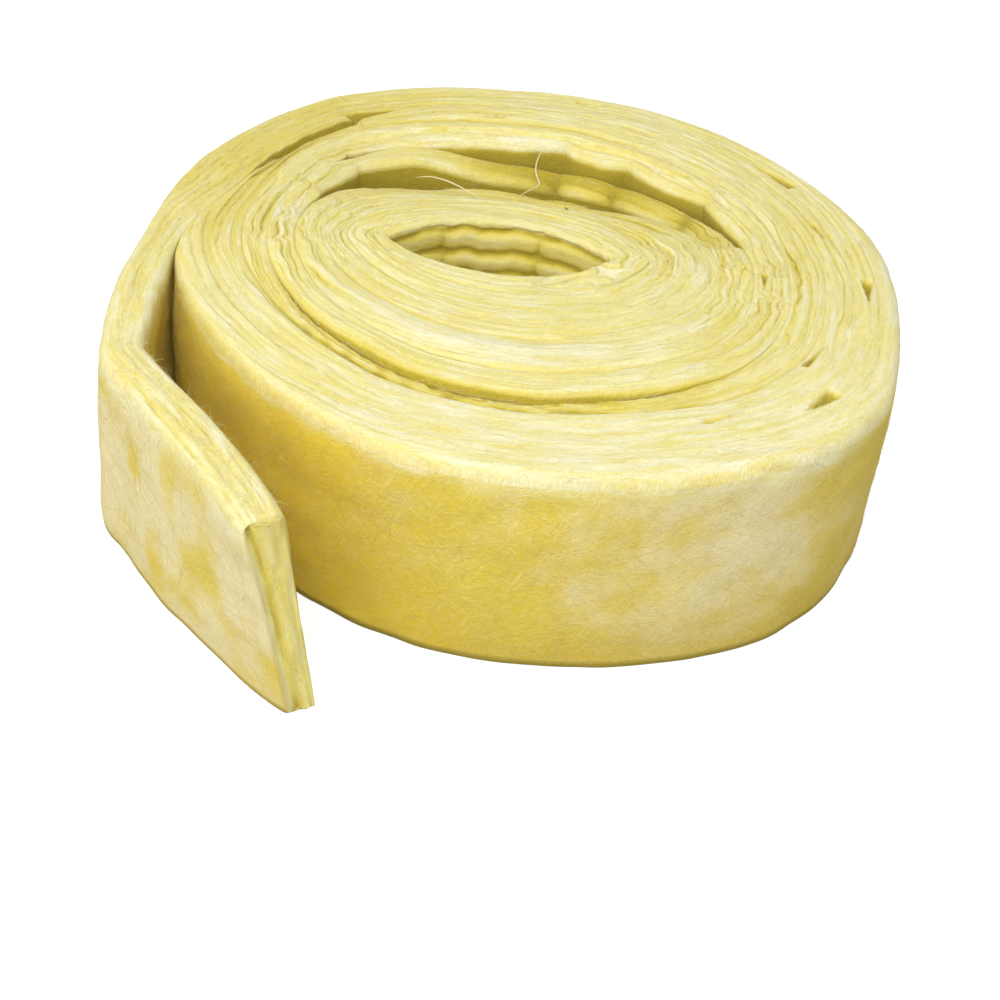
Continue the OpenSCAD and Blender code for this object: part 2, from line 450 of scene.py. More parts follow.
        draw = np.concatenate([0 * angle, self.bend_draw * swing / self.bend_angle,
                               self.bend_draw + (1 - self.bend_draw) * (way[:, 0] / self.tail_length) ** 3])
        return outer, inner, turned - self.loose_from + self.last, draw

    def lay(self) -> None:
        """Works out the stations along the strip: both faces, winding and length run."""
        free_outer, free_inner, free, draw = self.loose_path()
        wound = np.arange(self.start, self.last, self.station)
        inner = self.at_share(wound % TURN, self.share(wound))
        outer = self.at_share(wound % TURN, self.outer_share(wound))
        rim = self.rim_point(wound % TURN)
        after = wound + TURN - self.last
        count = int((self.tail_from - self.loose_from) / self.station)
        met = np.stack([np.interp(wound + TURN, free[:count], free_inner[:count, k]) for k in range(2)], 1)
        closer = (np.linalg.norm(met, axis=1) < np.linalg.norm(rim, axis=1)) & (after < count * self.station)
        outer = np.where((after > 0)[:, None], np.where(closer[:, None], met, rim), outer)
        inner_line = smoothed(np.concatenate([inner, free_inner]), self.smoothing)
        outer_line = smoothed(np.concatenate([outer, free_outer]), self.smoothing)
        middle = (inner_line + outer_line) / 2
        run = np.concatenate([[0], np.cumsum(np.linalg.norm(np.diff(middle, axis=0), axis=1))])
        self.lines = {
            "inner": inner_line, "outer": outer_line, "run": run,
            "turned": np.concatenate([wound, free]), "draw": np.concatenate([0 * wound, draw]),
        }

    def run_at(self, turned: float) -> float:
        """Length of strip wound before the given number of degrees."""
        return float(np.interp(turned, self.lines["turned"], self.lines["run"]))

    def at_run(self, key: str, run: np.ndarray) -> np.ndarray:
        """Reads one of the lines along the strip.

        Args:
            key: Which line.
            run: Lengths run along the strip.

        Returns:
            The line's value at each length.
        """
        line = self.lines[key]
        if line.ndim == 1:
            return np.interp(run, self.lines["run"], line)
        return np.stack([np.interp(run, self.lines["run"], line[:, k]) for k in range(2)], 1)


# ---------------------------------------------------------------- relief of the wool


@dataclass
class Relief:
    """The wool's own form on top of the plain winding: seams, layers, folds, slumps and waves."""

    winding: Winding
    tight_drop: float = 8 * MM
    hanging_drop: float = 8.5 * MM
    hanging_slope: float = 5 * MM
    foot_spread: float = 3.5 * MM
    end_slant: float = 5 * MM
    # turn, direction and reach in degrees, and depth in millimetres, of the deeper seams
    furrows: tuple[tuple[float, float, float, float], ...] = (
        (1, 205, 70, 0.9), (2, 252, 62, 2.0), (2, 90, 75, 1.5), (3, 190, 50, 0.8), (3, 285, 60, 1.1),
        (4, 262, 92, 4.0), (5, 262, 85, 3.6), (5, 95, 60, 0.9), (4, 20, 30, 0.8), (5, 10, 40, 0.6),
    )
    # place from the roll's middle, half-length with its sign, half-width and depth, in millimetres
    gapes: tuple[tuple[float, float, float, float, float], ...] = (
        (98, -83, 9, 3.4, 5), (91, 87, -12, 3.0, 5), (122, -4, 9, 2.6, 4.5), (99, -53, -9, 1.5, 3),
        (-70, 104, 14, 3.4, 5.5), (18, 135, 7, 1.8, 2.5), (-5, 119, 6, 1.6, 2), (-28, 109, -9, 1.6, 2),
        (40, 112, 11, 1.6, 2), (108, 40, 8, 1.4, 2), (66, -98, -8, 1.5, 2), (84, -5, 6, 1.5, 2.5),
    )
    # directions in which the walls are folded, in degrees, and depths of the eye's ledges, in millimetres
    eye_cusps: tuple[float, ...] = (-40, 14, 69, 122, 172, 230)
    hanging_cusps: tuple[float, ...] = (-20, 14, 42, 66, 82, 137, 158, 200)
    eye_ledges: tuple[float, ...] = (-6, 0, 9, 16.5, 22, 30, 40, 52, 66, 80)
    split_reach: Pair = (0.9 * MM, 2.5 * MM)
    split_shift: Pair = (1.0 * MM, 2.2 * MM)
    split_from: Pair = (4 * MM, 30 * MM)
    slack_swell: float = 6 * MM
    ledge_step: float = 1.9
    ledge_notch: float = 0.9
    ledge_swell: float = 1.4
    sag: float = 1.7
    level_swell: float = 0.7
    skin: float = 3 * MM
    fold_drop: float = 3.5 * MM
    outer_drop: float = 2 * MM
    ledge: float = 4.2 * MM
    fan_root: Pair = (-1 * MM, -27 * MM)
    fan_length: Pair = (26, 40)
    # pitch in millimetres, height and seed of the coarse layers and of the fine ones
    layer_sets: tuple[tuple[float, float, int], ...] = ((3.4, 1.0, 51), (1.45, 0.6, 57))
    # degrees of winding over which the outer turns grow calmer, flatter, arched and golden
    calm_over: Pair = (1300, 1900)
    flat_over: Pair = (1900, 2000)
    arch_over: Pair = (1650, 1950)
    gold_over: Pair = (1500, 1850)

    def seam_depth(self, turned: np.ndarray) -> np.ndarray:
        """Depth of the furrow where two turns meet, along the boundary between them.

        Args:
            turned: Degrees of winding of the outer of the two turns.

        Returns:
            Depth in metres.
        """
        depth = 0.1 + 0.45 * noise(turned / 31, turned * 0 + 0.5, seed=71)
        for turn, angle, reach, deep in self.furrows:
            depth = depth + deep * hump(turned, TURN * turn + angle, reach)
        return np.maximum(0, depth) * MM

    def seam_reach(self, turned: np.ndarray) -> np.ndarray:
        """Half-width of the furrow where two turns meet, in metres."""
        return (0.9 + 0.5 * Band.WIDE_SEAM.at(turned) + 0.5 * Band.NEXT_SEAM.at(turned)) * MM

    def ledge_depth(self, turned: np.ndarray) -> np.ndarray:
        """Drop of the wound turn beside the loose turn, which shows the loose turn's wall.

        Args:
            turned: Degrees of winding of the loose turn.

        Returns:
            The drop in metres.
        """
        past = turned - self.winding.last
        rise = blend(past, -3, 3) * (1 - 0.9 * blend(past, 24, 34))
        fade = 1 - blend(past, 34, 60)
        return self.ledge * rise * fade * (0.85 + 0.15 * noise(turned / 7, turned * 0, seed=74))

    def pockets(self, place: np.ndarray) -> np.ndarray:
        """Small pockets where layers have parted: each opens from a point to a blunt end.

        Args:
            place: Points in plan.

        Returns:
            Depth in metres.
        """
        deep = np.zeros(place.shape[:-1])
        for x, y, half_length, half_width, depth in self.gapes:
            spot = np.array([x, y]) * MM
            out = spot / np.linalg.norm(spot)
            along = (place - spot) @ np.array([-out[1], out[0]]) / MM / half_length
            across = (place - spot) @ out / MM / half_width
            gape = np.clip((along + 1) / 2, 0.02, 1)
            shape = np.clip(1 - (across / gape) ** 2, 0, 1) * (along > -1) * (1 - blend(along, 0.8, 1.15))
            deep = np.maximum(deep, depth * MM * shape * gape**0.6)
        return deep

    def pillow(self, angle: np.ndarray, cusps: tuple[float, ...]) -> np.ndarray:
        """How far a wall bulges between the cusps where it is folded, from 0 at a cusp to 1."""
        lap = np.interp(angle, cusps, np.arange(len(cusps)))
        return np.abs(np.sin(np.pi * lap)) ** 0.5

    def during(self, turned: np.ndarray, turn: int) -> np.ndarray:
        """How free one turn is in the slack behind the eye, from 0 to 1."""
        here = (turned > TURN * turn) & (turned < TURN * (turn + 1))
        return self.winding.slack(turned % TURN) * here

    def top_drop(self, turned: np.ndarray, s: np.ndarray, q: np.ndarray, place: np.ndarray) -> np.ndarray:
        """How far the turns have slid down behind the eye, or stand above their neighbours.

        Args:
            turned: Degrees of winding.
            s: Share of the way from the inner face to the outer one.
            q: Distance from the inner face, in millimetres.
            place: Points in plan.

        Returns:
            The drop of the slit edge below the roll's top.
        """
        plan = self.winding
        slope = np.clip((place[..., 1] - plan.eye_centre[1] + plan.eye_width / 2) / (plan.rim_y / 4), 0, 1.15)
        end = TURN * plan.tight_turns
        tight = self.tight_drop * slope**3.4 * (1 - blend(turned, end - 50, end + 25))
        hanging, pressed = self.during(turned, plan.tight_turns), self.during(turned, plan.tight_turns + 1)
        folds = 1 - self.pillow(turned % TURN, self.hanging_cusps)
        hang = self.hanging_drop + self.hanging_slope * (1 - s) ** 1.6
        hang = hang + self.outer_drop * np.clip(3 * s - 2, 0, 1) ** 2 + self.fold_drop * folds * (1 - s)
        hang = hang * (0.25 + 0.75 * plan.let_go(turned % TURN))
        # the pressed turn's inner layer hangs as a flap, with a furrow behind it
        flap = 1.4 * (1 - blend(q, 3.5, 6.5)) + 2.2 * (1 - blend(q, 0, 5))
        flap = flap + 2.2 * np.exp(-(((q - 5.6) / 1.1) ** 2))
        band = 2.4 * Band.DIP.at(turned) - 1.3 * Band.CROWN.at(turned) * hump(s, 0.5, 0.6)
        return tight + hang * hanging + flap * MM * pressed + band * MM

    def layers(
        self, u: np.ndarray, q: np.ndarray, turned: np.ndarray, place: np.ndarray
    ) -> tuple[np.ndarray, np.ndarray, np.ndarray]:
        """The layers that show on a slit edge.

        Args:
            u: Length run along the strip, in millimetres.
            q: Distance from the inner face, in millimetres.
            turned: Degrees of winding.
            place: Points in plan, in metres.

        Returns:
            Height of the relief in metres, the shade painted on each point in the creases between the layers,
            from 0 to 1, and the buckled distance from the inner face, in millimetres, that the layers follow.
        """
        angle = turned % TURN
        bends = Stretch.RIGHT.at(signed(turned)) + Stretch.LEFT.at(angle)
        kinks = np.abs(noise(u / 8, q / 20, seed=41)) * 3.6 - 1.2
        calm = 1 - 0.8 * blend(turned, *self.calm_over)
        warp = 1.4 * octaves(u / 26, q / 9, seed=3, count=3) + bends * kinks * calm
        # a fan of folds runs out from a point to the right of the eye
        ray = place - np.array(self.fan_root)
        reach = np.linalg.norm(ray, axis=-1) / MM
        turn = np.degrees(np.arctan2(ray[..., 1], ray[..., 0]))
        first_turn = turned < self.winding.eye_closes[1]
        fan = (1 - blend(reach, *self.fan_length)) * Stretch.FAN.at(turn) * first_turn
        spread = turn * 0.32 + 2.2 * noise(reach / 9, turn / 22, seed=44)
        level = (q + warp) * (1 - fan) + spread * fan
        # the layers are flatter at the front, on the last turns and in the slack, and stand up at the bends
        soft = (1 - 0.5 * Stretch.FRONT.at(angle)) * (1 - 0.3 * blend(turned, *self.flat_over))
        soft = soft * (1 + 0.35 * bends) * (1 - 0.7 * self.during(turned, self.winding.tight_turns))
        height, shade_and_gold = np.zeros_like(q), np.zeros_like(q)
        for pitch, tall, seed in self.layer_sets:
            lap = level / pitch + 0.5 * noise(u / 60, q / 7, seed=seed)
            index = np.floor(lap)
            round_top = 1 - np.abs(2 * (lap - index) - 1) ** 3
            stand = noise(u / (11 * pitch), index * 7.31, seed=seed + 1)
            bite = blend(noise(u / (13 * pitch), index * 5.7 + 0.4, seed=seed + 2), -0.5, 0.5)
            height += tall * (0.55 * stand + 0.6 * (round_top - 1) * bite) * (soft + 0.5 * fan)
            # painted shade in the creases between layers and where a layer stands low
            shade_and_gold += tall * ((1 - round_top) ** 2 * bite * 0.65 + 0.3 * np.clip(-stand, 0, 1)) * soft
        return height * MM, np.clip(shade_and_gold, 0, 1), level

    def common(self, place: np.ndarray) -> tuple[np.ndarray, np.ndarray]:
        """Relief that runs across all the turns together, so that they meet level.

        Args:
            place: Points in plan.

        Returns:
            The slow rise and fall everywhere, and the rough surface that two turns share where they meet.
        """
        x, y = place[..., 0] / MM, place[..., 1] / MM
        slow = 0.9 * octaves(x / 48, y / 48, seed=5, count=2)
        rough = 0.6 * octaves(x / 6, y / 6, seed=6, count=3)
        return slow * MM, rough * MM

    def wall(self, angle: np.ndarray, deep: np.ndarray, ledged: bool) -> tuple[np.ndarray, np.ndarray]:
        """Folds of an open wall behind the eye, and the shade painted on it.

        Args:
            angle: Direction from the roll's middle, in degrees.
            deep: Depth below the slit edge, in millimetres.
            ledged: Whether the wall hangs in ledges, as the eye's does, or in one smooth sweep.

        Returns:
            How far the wall stands out, in metres, and the shade painted on each point, from 0 to 1.
        """
        cusps = self.eye_cusps if ledged else self.hanging_cusps
        pillow = self.pillow(angle, cusps)
        fold = (1 - pillow) ** 2
        if not ledged:
            # painted shade on the slack's walls: darker in the folds and further down
            dark = 0.93 + 0.6 * (1 - pillow) + 0.02 * deep
            return self.slack_swell * (pillow - self.level_swell), np.clip(dark, 0, 1)
        sag = self.sag * pillow + 0.8 * noise(angle / 9, deep * 0, seed=62)
        lap = np.interp(deep - sag, self.eye_ledges, np.arange(len(self.eye_ledges)))
        part = lap - np.floor(lap)
        notch = np.exp(-((part / 0.16) ** 2)) + np.exp(-(((1 - part) / 0.12) ** 2))
        out = self.ledge_step * (np.floor(lap) + blend(part, 0, 0.4) - 1)
        out = out - self.ledge_notch * notch + self.ledge_swell * (pillow - self.level_swell)
        # painted shade on the eye's ledges: darker in the notches between them, in the folds and low on each
        # ledge
        shade = 0.30 + 0.75 * notch + 0.5 * fold + 0.35 * blend(part, 0.45, 0.9)
        return out * MM, np.clip(shade, 0, 1)

    def wave(self, plan: np.ndarray, z: np.ndarray) -> np.ndarray:
        """Slow waviness of all the turns together, as a shift in plan at each point.

        Args:
            plan: Points in plan, in metres.
            z: Their heights.

        Returns:
            The shift of each point.
        """
        x, y, up = plan[..., 0] / MM, plan[..., 1] / MM, z / MM
        near = 1 - 0.75 * blend(np.hypot(x, y * 0.92), 95, 128)
        shift = [1.1 * octaves(x / 24, y / 24, up / 60, seed=81 + k, count=2) * near for k in range(2)]
        return np.stack(shift, -1) * MM

    def split(self, run: np.ndarray, from_outer: np.ndarray, z: np.ndarray) -> np.ndarray:
        """The split between the tail's skin and its core.

        Args:
            run: Length run along the strip.
            from_outer: Distance from the strip's outer face.
            z: Height.

        Returns:
            How deep in the split each point is, from 0 to 1.
        """
        plan = self.winding
        start = float(plan.lines["run"][-1]) - plan.tail_length
        down = np.clip(1 - z / plan.width, 0, 1)
        reach = self.split_reach[0] + (self.split_reach[1] - self.split_reach[0]) * down
        wander, lean = self.split_shift
        line = self.skin + wander * noise(run / (12 * MM), down * 7, seed=77) + lean * down
        torn = 0.65 + 0.35 * noise(run / (6 * MM), down * 7, seed=78)
        torn = torn * blend(run - start, *self.split_from)
        return torn * np.exp(-(((from_outer - line) / reach) ** 2))


class Face(Enum):
    """Which surface of the strip a band of the section belongs to."""

    INNER = 0
    TOP = 1
    OUTER = 2
    BOTTOM = 3


class Ending(Enum):
    """How a length of the strip ends: joined to the next length, or cut across."""

    JOINED = 0
    CUT = 1


class Survey:
    """Where every point of a length lies on the strip, by ring and by place in its section."""

    def __init__(
        self, plan: Winding, section: tuple[np.ndarray, ...], rings: tuple[np.ndarray, np.ndarray]
    ) -> None:
        """Works out the fields.

        Args:
            plan: The winding that the length is part of.
            section: Each place's share across the strip, its share of the height and its face.
            rings: Each ring's length run along the strip, and how far its section is drawn in.
        """
        self.across, self.height, self.faces = section
        self.run, self.drawn = rings
        inner, outer = plan.at_run("inner", self.run), plan.at_run("outer", self.run)
        gap = outer - inner
        self.thick = np.maximum(np.linalg.norm(gap, axis=1), 0.2 * MM)
        self.facing = gap / self.thick[:, None]
        # share of the way across, length run and distance from the inner face in millimetres, winding
        self.s = 0.5 + (self.across[None] - 0.5) * self.drawn[:, None]
        self.along = np.repeat(self.run[:, None], len(self.across), 1)
        self.u = self.along / MM
        self.q = self.s * self.thick[:, None] / MM
        self.turned = np.repeat(plan.at_run("turned", self.run)[:, None], len(self.across), 1)
        self.angle = self.turned % TURN
        self.place = inner[:, None] + gap[:, None] * self.s[..., None]
        self.from_inner, self.from_outer = self.q * MM, (1 - self.s) * self.thick[:, None]
        self.on = {face: (self.faces == face.value)[None] for face in Face}
        # where the strip's faces lie free: round the eye, in the slack, on the outside and along the tail
        turn = self.turned / TURN - plan.tight_turns
        self.in_eye = 1 - blend(self.turned, *plan.eye_closes)
        self.slack = plan.slack(self.angle)
        self.free_in = np.maximum(self.in_eye, self.slack * ((turn > 0) & (turn < 2)))
        self.free_out = self.slack * ((turn > -1) & (turn < 1))
        self.bare = blend(self.turned - plan.last + TURN, *plan.bare_from)
        self.own = blend(self.turned - plan.last, *plan.own_from)
        # the places in the section where each face meets the slit edge
        top = np.flatnonzero(self.faces == Face.TOP.value)
        self.at_lip = np.where(self.across < 0.5, top[0], top[-1])


@dataclass
class EdgeForm:
    """Form of a length's slit edge, and the heights that follow from it down both faces.

    It holds each point's height in metres, its depth below the slit edge in millimetres, the buckled
    distance that the layers follow, the shade painted on it in creases, furrows, pockets and the split, and
    how near a bare rim.
    """

    z: np.ndarray
    below: np.ndarray
    level: np.ndarray
    shade: np.ndarray
    rim: np.ndarray


@dataclass
class WoolLength:
    """One length of the strip, swept along the winding as a closed skin.

    The section runs up the inner face, over the slit top edge, down the outer face and back below.
    """

    name: str
    winding: Winding
    relief: Relief
    origin: np.ndarray
    turned_from: float
    turned_to: float
    ring_step: float = 1.25 * MM
    top_columns: int = 44
    inner_rows: int = 10
    outer_rows: int = 10
    bottom_columns: int = 6
    ending: Ending = Ending.JOINED
    seam: float = 0.06 * MM
    soft_rim: float = 4.5 * MM
    soft_inner: float = 3 * MM
    soft_end: float = 2.5 * MM
    shared_reach: float = 1.5 * MM
    lap: float = 2 * MM
    foot_lip: float = 0.5 * MM
    cap_rings: int = 14
    cap_reach: float = 3 * MM
    cap_from: float = 3.2 * MM
    crowding: float = 1.35
    outer_rim: float = 5 * MM
    inner_rim: float = 4 * MM
    ledge_reach: float = 6 * MM
    tear: float = 0.9 * MM
    arch: float = 1.2 * MM
    split_depth: float = 0.9 * MM
    full_furrow: float = 2.6 * MM
    full_pocket: float = 2.4 * MM
    pinch: float = 4 * MM
    pinch_reach: float = 40 * MM
    bend_middle: float = 3.9
    dent: float = 1.8 * MM
    end_lumps: float = 0.8 * MM
    slant_reach: float = 45 * MM
    narrow_foot: float = 70 * MM
    skin: dict[str, np.ndarray] = field(default_factory=dict)

    def section(self) -> tuple[np.ndarray, np.ndarray, np.ndarray]:
        """The section's points as a loop.

        Returns:
            For each point its share across the strip, its share of the height and its face.
        """
        # rows crowd towards the slit edge, and the top's columns towards its two lips
        rise = 1 - (1 - np.linspace(0, 1, self.inner_rows + 1)[1:-1]) ** self.crowding
        fall = 1 - np.linspace(0, 1, self.outer_rows + 1)[1:-1] ** self.crowding
        even = np.linspace(0, 1, self.top_columns)
        top = even - 0.5 * np.sin(2 * np.pi * even) / (2 * np.pi)
        low = np.linspace(1, 0, self.bottom_columns)
        across = np.concatenate([np.zeros(len(rise)), top, np.ones(len(fall)), low])
        height = np.concatenate([rise, np.ones(len(top)), fall, np.zeros(len(low))])
        faces = np.repeat([face.value for face in Face], [len(rise), len(top), len(fall), len(low)])
        return across, height, faces

    def stations(self) -> tuple[np.ndarray, np.ndarray]:
        """Places of the rings.

        Returns:
            Length run at each ring, and how far its section is drawn in towards a cut end.
        """
        plan = self.winding
        first = plan.run_at(self.turned_from) - (self.lap if self.turned_from > plan.start else 0)
        whole = float(plan.lines["run"][-1])
        final = whole if self.ending is Ending.CUT else plan.run_at(self.turned_to)
        run = np.linspace(first, final, int((final - first) / self.ring_step) + 1)
        drawn = np.ones(len(run))
        if self.ending is Ending.CUT:
            draw = np.cos(np.linspace(0, np.pi / 2, self.cap_rings + 1)[1:])
            round_off = self.cap_reach * ((1 - draw**5) ** 0.2 - 1)
            run = np.concatenate([run[run < whole - self.cap_from], whole + round_off])
            drawn = np.concatenate([np.ones(len(run) - len(draw)), draw])
        return run, drawn

    def edge_form(self, here: Survey) -> EdgeForm:
        """Works out the slit edge, and the height of every point below it.

        Args:
            here: Where the points lie on the strip.

        Returns:
            The edge's form.
        """
        plan, relief, t, q = self.winding, self.relief, here.turned, here.q
        from_inner, from_outer = here.from_inner, here.from_outer
        lost = relief.top_drop(t, here.s, q, here.place)
        layer, shade_and_gold, level = relief.layers(here.u, q, t, here.place)
        slow, rough = relief.common(here.place)
        shared = np.exp(-((np.minimum(from_inner, from_outer) / self.shared_reach) ** 2))
        after = t + TURN
        seam_in = relief.seam_depth(t) * np.exp(-((from_inner / relief.seam_reach(t)) ** 1.3))
        seam_out = relief.seam_depth(after) * np.exp(-((from_outer / relief.seam_reach(after)) ** 1.3))
        seam_in, seam_out = seam_in * (1 - here.own), seam_out * (1 - here.bare)
        round_out = self.rounded(from_outer, self.soft_rim) * np.maximum(here.bare, 0.6 * here.free_out)
        round_in = self.rounded(from_inner, self.soft_inner) * np.maximum(here.own, 0.6 * here.free_in)
        round_end = self.rounded(here.run[-1] - here.along, self.soft_end) * (self.ending is Ending.CUT)
        ledge = relief.ledge_depth(after) * np.exp(-((from_outer / self.ledge_reach) ** 4))
        gapes = relief.pockets(here.place)
        split = relief.split(here.along, from_outer, plan.width + 0 * here.s)
        outer_rim = here.bare * np.exp(-((from_outer / self.outer_rim) ** 2))
        rim = np.maximum(outer_rim, here.own * np.exp(-((from_inner / self.inner_rim) ** 2)))
        torn = self.tear * octaves(here.u / 3.2, q / 1.4, seed=98, count=2)
        torn = torn * Band.TORN.at(t) * hump(q, 1.5, 7)
        # each turn shows its own layers, and takes the shared rough surface where it meets the next one
        rise = (layer * (1 - shared) + rough * shared) * (1 - 0.75 * rim) + slow * (1 - 0.5 * here.own) + torn
        top_z = plan.width - lost - seam_in - seam_out - round_out - round_in - ledge - gapes - round_end
        arch = self.arch * Stretch.ARCH.at(here.angle) * blend(t, *relief.arch_over) * (1 - here.own)
        top_z = top_z - self.split_depth * split + rise + arch
        lip_z, foot = top_z[:, here.at_lip], self.foot_lip
        z = np.where(here.on[Face.TOP], top_z, foot + (lip_z - foot) * here.height[None])
        z = np.where(here.on[Face.BOTTOM], foot * np.abs(2 * here.across[None] - 1) ** 6, z)
        # painted shade in the seams' furrows, in the pockets and in the split
        furrow = np.clip((seam_in + seam_out) / self.full_furrow, 0, 1)
        furrow = furrow + np.clip(gapes / self.full_pocket, 0, 1)
        shade = shade_and_gold * (1 - shared) * (1 - 0.8 * rim) + (furrow + 0.6 * split)
        return EdgeForm(z, (lip_z - z) / MM, level, shade, rim)

    def shifted(self, here: Survey, form: EdgeForm) -> tuple[np.ndarray, np.ndarray]:
        """Moves the points in plan: folds of the open walls, the bulging outside, the foot and the waves.

        Args:
            here: Where the points lie on the strip.
            form: The slit edge's form.

        Returns:
            The points in plan, and the shade painted on each point of an open wall, from 0 to 1.
        """
        plan, relief, s, z = self.winding, self.relief, here.s, form.z
        down = 1 - z / plan.width
        offset = np.where(s < 0.5, 1, -1) * np.minimum(self.seam, here.thick[:, None] * 0.2) / 2
        bent = plan.run_at(plan.last + plan.tail_from - plan.loose_from + self.bend_middle)
        by_bend = np.clip(1 - np.abs(here.along - bent) / self.pinch_reach, 0, 1) ** 2
        offset = offset + self.pinch * by_bend * (1 - s)
        eye_fold, eye_shade = relief.wall(here.angle, form.below, True)
        slack_fold, slack_shade = relief.wall(here.angle, form.below, False)
        in_slack = np.clip(here.free_in - here.in_eye, 0, 1)
        fold = eye_fold * here.in_eye * Stretch.BACK.at(here.angle) + slack_fold * in_slack
        offset = offset - fold * (1 - s) ** 2 + 0.6 * slack_fold * here.free_out * s**2
        swell = 0.8 * noise(here.u / 28, z / MM / 24, seed=91) + 0.4 * noise(here.u / 11, z / MM / 9, seed=92)
        belly = 0.8 - 1.2 * (2 * z / plan.width - 1) ** 4 + 1.8 * Stretch.BELLY.at(signed(here.angle))
        outer_skin = here.bare * np.clip(2 * s - 1, 0, 1) ** 6
        outwards = outer_skin - here.own * np.clip(1 - 2 * s, 0, 1) ** 6
        far = blend(here.along, here.run[-1] - self.narrow_foot, here.run[-1]) * here.own
        wider = 0.15 + 0.8 * Stretch.FOOT.at(here.angle) + 0.3 * here.own * (1 - far)
        spread = relief.foot_spread * wider * down * outer_skin
        offset = (offset + (swell + belly) * MM * outwards + spread) * here.drawn[:, None]
        foot = plan.at_run("draw", here.run)[:, None] * plan.foot_draw * (0.7 + 0.3 * s) * down
        flat = here.place + here.facing[:, None] * (offset - foot)[..., None]
        # painted shade of the open walls, from the eye's ledges or the slack's folds
        folds = np.where(here.on[Face.INNER] & (here.in_eye > 0.5), eye_shade, slack_shade)
        return flat + relief.wave(flat, z), folds

    def cut_end(
        self, here: Survey, form: EdgeForm, flat: np.ndarray
    ) -> tuple[np.ndarray, np.ndarray, np.ndarray]:
        """Shapes the cut end, where the skin has parted from the core, and slants it.

        Args:
            here: Where the points lie on the strip.
            form: The slit edge's form.
            flat: The points in plan.

        Returns:
            The points in plan, how far each lies on the cut end, and how deep in the split there.
        """
        relief, z = self.relief, form.z
        cap = blend(1 - here.drawn[:, None] + np.zeros_like(here.s), 0.02, 0.2)
        cut = relief.split(here.along, here.from_outer, z) * cap
        onward = np.stack([-here.facing[:, 1], here.facing[:, 0]], -1)[:, None]
        dents = self.dent * cut + self.end_lumps * cap * noise(here.q / 2.5, z / MM / 9, seed=97)
        flat = flat - onward * dents[..., None]
        near_end = blend(here.along, here.run[-1] - self.slant_reach, here.run[-1])
        slant = relief.end_slant * (1 - z / self.winding.width) * near_end * here.own
        return flat + onward * slant[..., None], cap, cut

    def pattern(self, here: Survey, form: EdgeForm, cap: np.ndarray) -> np.ndarray:
        """The map that the material's streaks follow, which runs on over the lips.

        Args:
            here: Where the points lie on the strip.
            form: The slit edge's form.
            cap: How far each point lies on the cut end.

        Returns:
            Each point's place along the strip and round its section, in metres.
        """
        lip_level = form.level[:, here.at_lip]
        side = lip_level + np.where(here.across[None] < 0.5, -form.below, form.below)
        girth = np.where(here.on[Face.TOP] | here.on[Face.BOTTOM], form.level, side)
        return np.stack([here.u + cap * form.z / MM, girth * (1 - cap) + cap * here.q], -1) * MM

    def painted_shade(
        self, here: Survey, form: EdgeForm, folds: np.ndarray, cap: np.ndarray, cut: np.ndarray
    ) -> np.ndarray:
        """Shade painted as deeper gold on each point, from 0 on pale wool to 1 in the deepest shade.

        Args:
            here: Where the points lie on the strip.
            form: The slit edge's form.
            folds: The shade painted on the open walls.
            cap: How far each point lies on the cut end.
            cut: How deep in the split it lies there.

        Returns:
            The painted shade at each point.
        """
        plan, relief, t, angle = self.winding, self.relief, here.turned, here.angle
        up = form.z / plan.width
        rough = 0.5 * Band.ROUGH.at(t) * (0.8 + 0.6 * noise(here.u / 5, here.q / 2, seed=96))
        # painted shade on the hanging turn's top: olive gold, lighter along its crest and darker in its folds
        hanging = relief.during(t, plan.tight_turns) * plan.let_go(angle)
        crest = np.exp(-((here.q / 1.6) ** 2))
        creases = (1 - relief.pillow(angle, relief.hanging_cusps)) ** 2
        gap_rim = 0.45 * here.slack * ((t > TURN * (plan.tight_turns - 1)) & (t < TURN * plan.tight_turns))
        shade = form.shade + rough + hanging * (0.85 - 0.45 * crest + 0.7 * creases) + gap_rim
        # the deeper yellow turns at the back left are the wool's own colour, carried in the same field
        shade = np.clip(shade + 0.42 * self.back_left(here), 0, 1) * here.on[Face.TOP]
        free_in, free_out = np.maximum(here.free_in, here.own), np.maximum(here.free_out, here.bare)
        # walls closed between turns take full painted shade
        closed = 1 - np.clip(here.on[Face.INNER] * free_in + here.on[Face.OUTER] * free_out, 0, 1)
        # painted shade on the smooth skin, darker towards the floor and by the tail's foot
        floor_shade = (1 - up) ** 4
        plain = 0.1 + (0.8 * floor_shade + 0.15 * Stretch.TAIL_FOOT.at(angle)) * (1 - here.own)
        plain = plain + 0.25 * floor_shade * here.own
        skin = self.own_skin(here, cap)
        wall = closed + (1 - closed) * (folds * (1 - skin) + plain * skin)
        lip_shade = shade[:, here.at_lip]
        wall = lip_shade + (wall - lip_shade) * blend(form.below, 0, 1.8)
        # painted shade on the cut end, darker towards its top and in the split
        end = np.clip(0.2 + 0.35 * up**3 + 0.75 * cut, 0, 1)
        return np.where(here.on[Face.TOP], shade, wall) * (1 - cap) + cap * end

    @staticmethod
    def own_skin(here: Survey, cap: np.ndarray) -> np.ndarray:
        """How far each point lies on the strip's smooth outside skin, from 0 to 1."""
        return (here.on[Face.INNER] * here.own + here.on[Face.OUTER] * here.bare) * (1 - cap)

    def back_left(self, here: Survey) -> np.ndarray:
        """How far each point lies in the deeper yellow turns at the back left, from 0 to 1."""
        return Stretch.BACK_LEFT.at(here.angle) * blend(here.turned, *self.relief.gold_over)

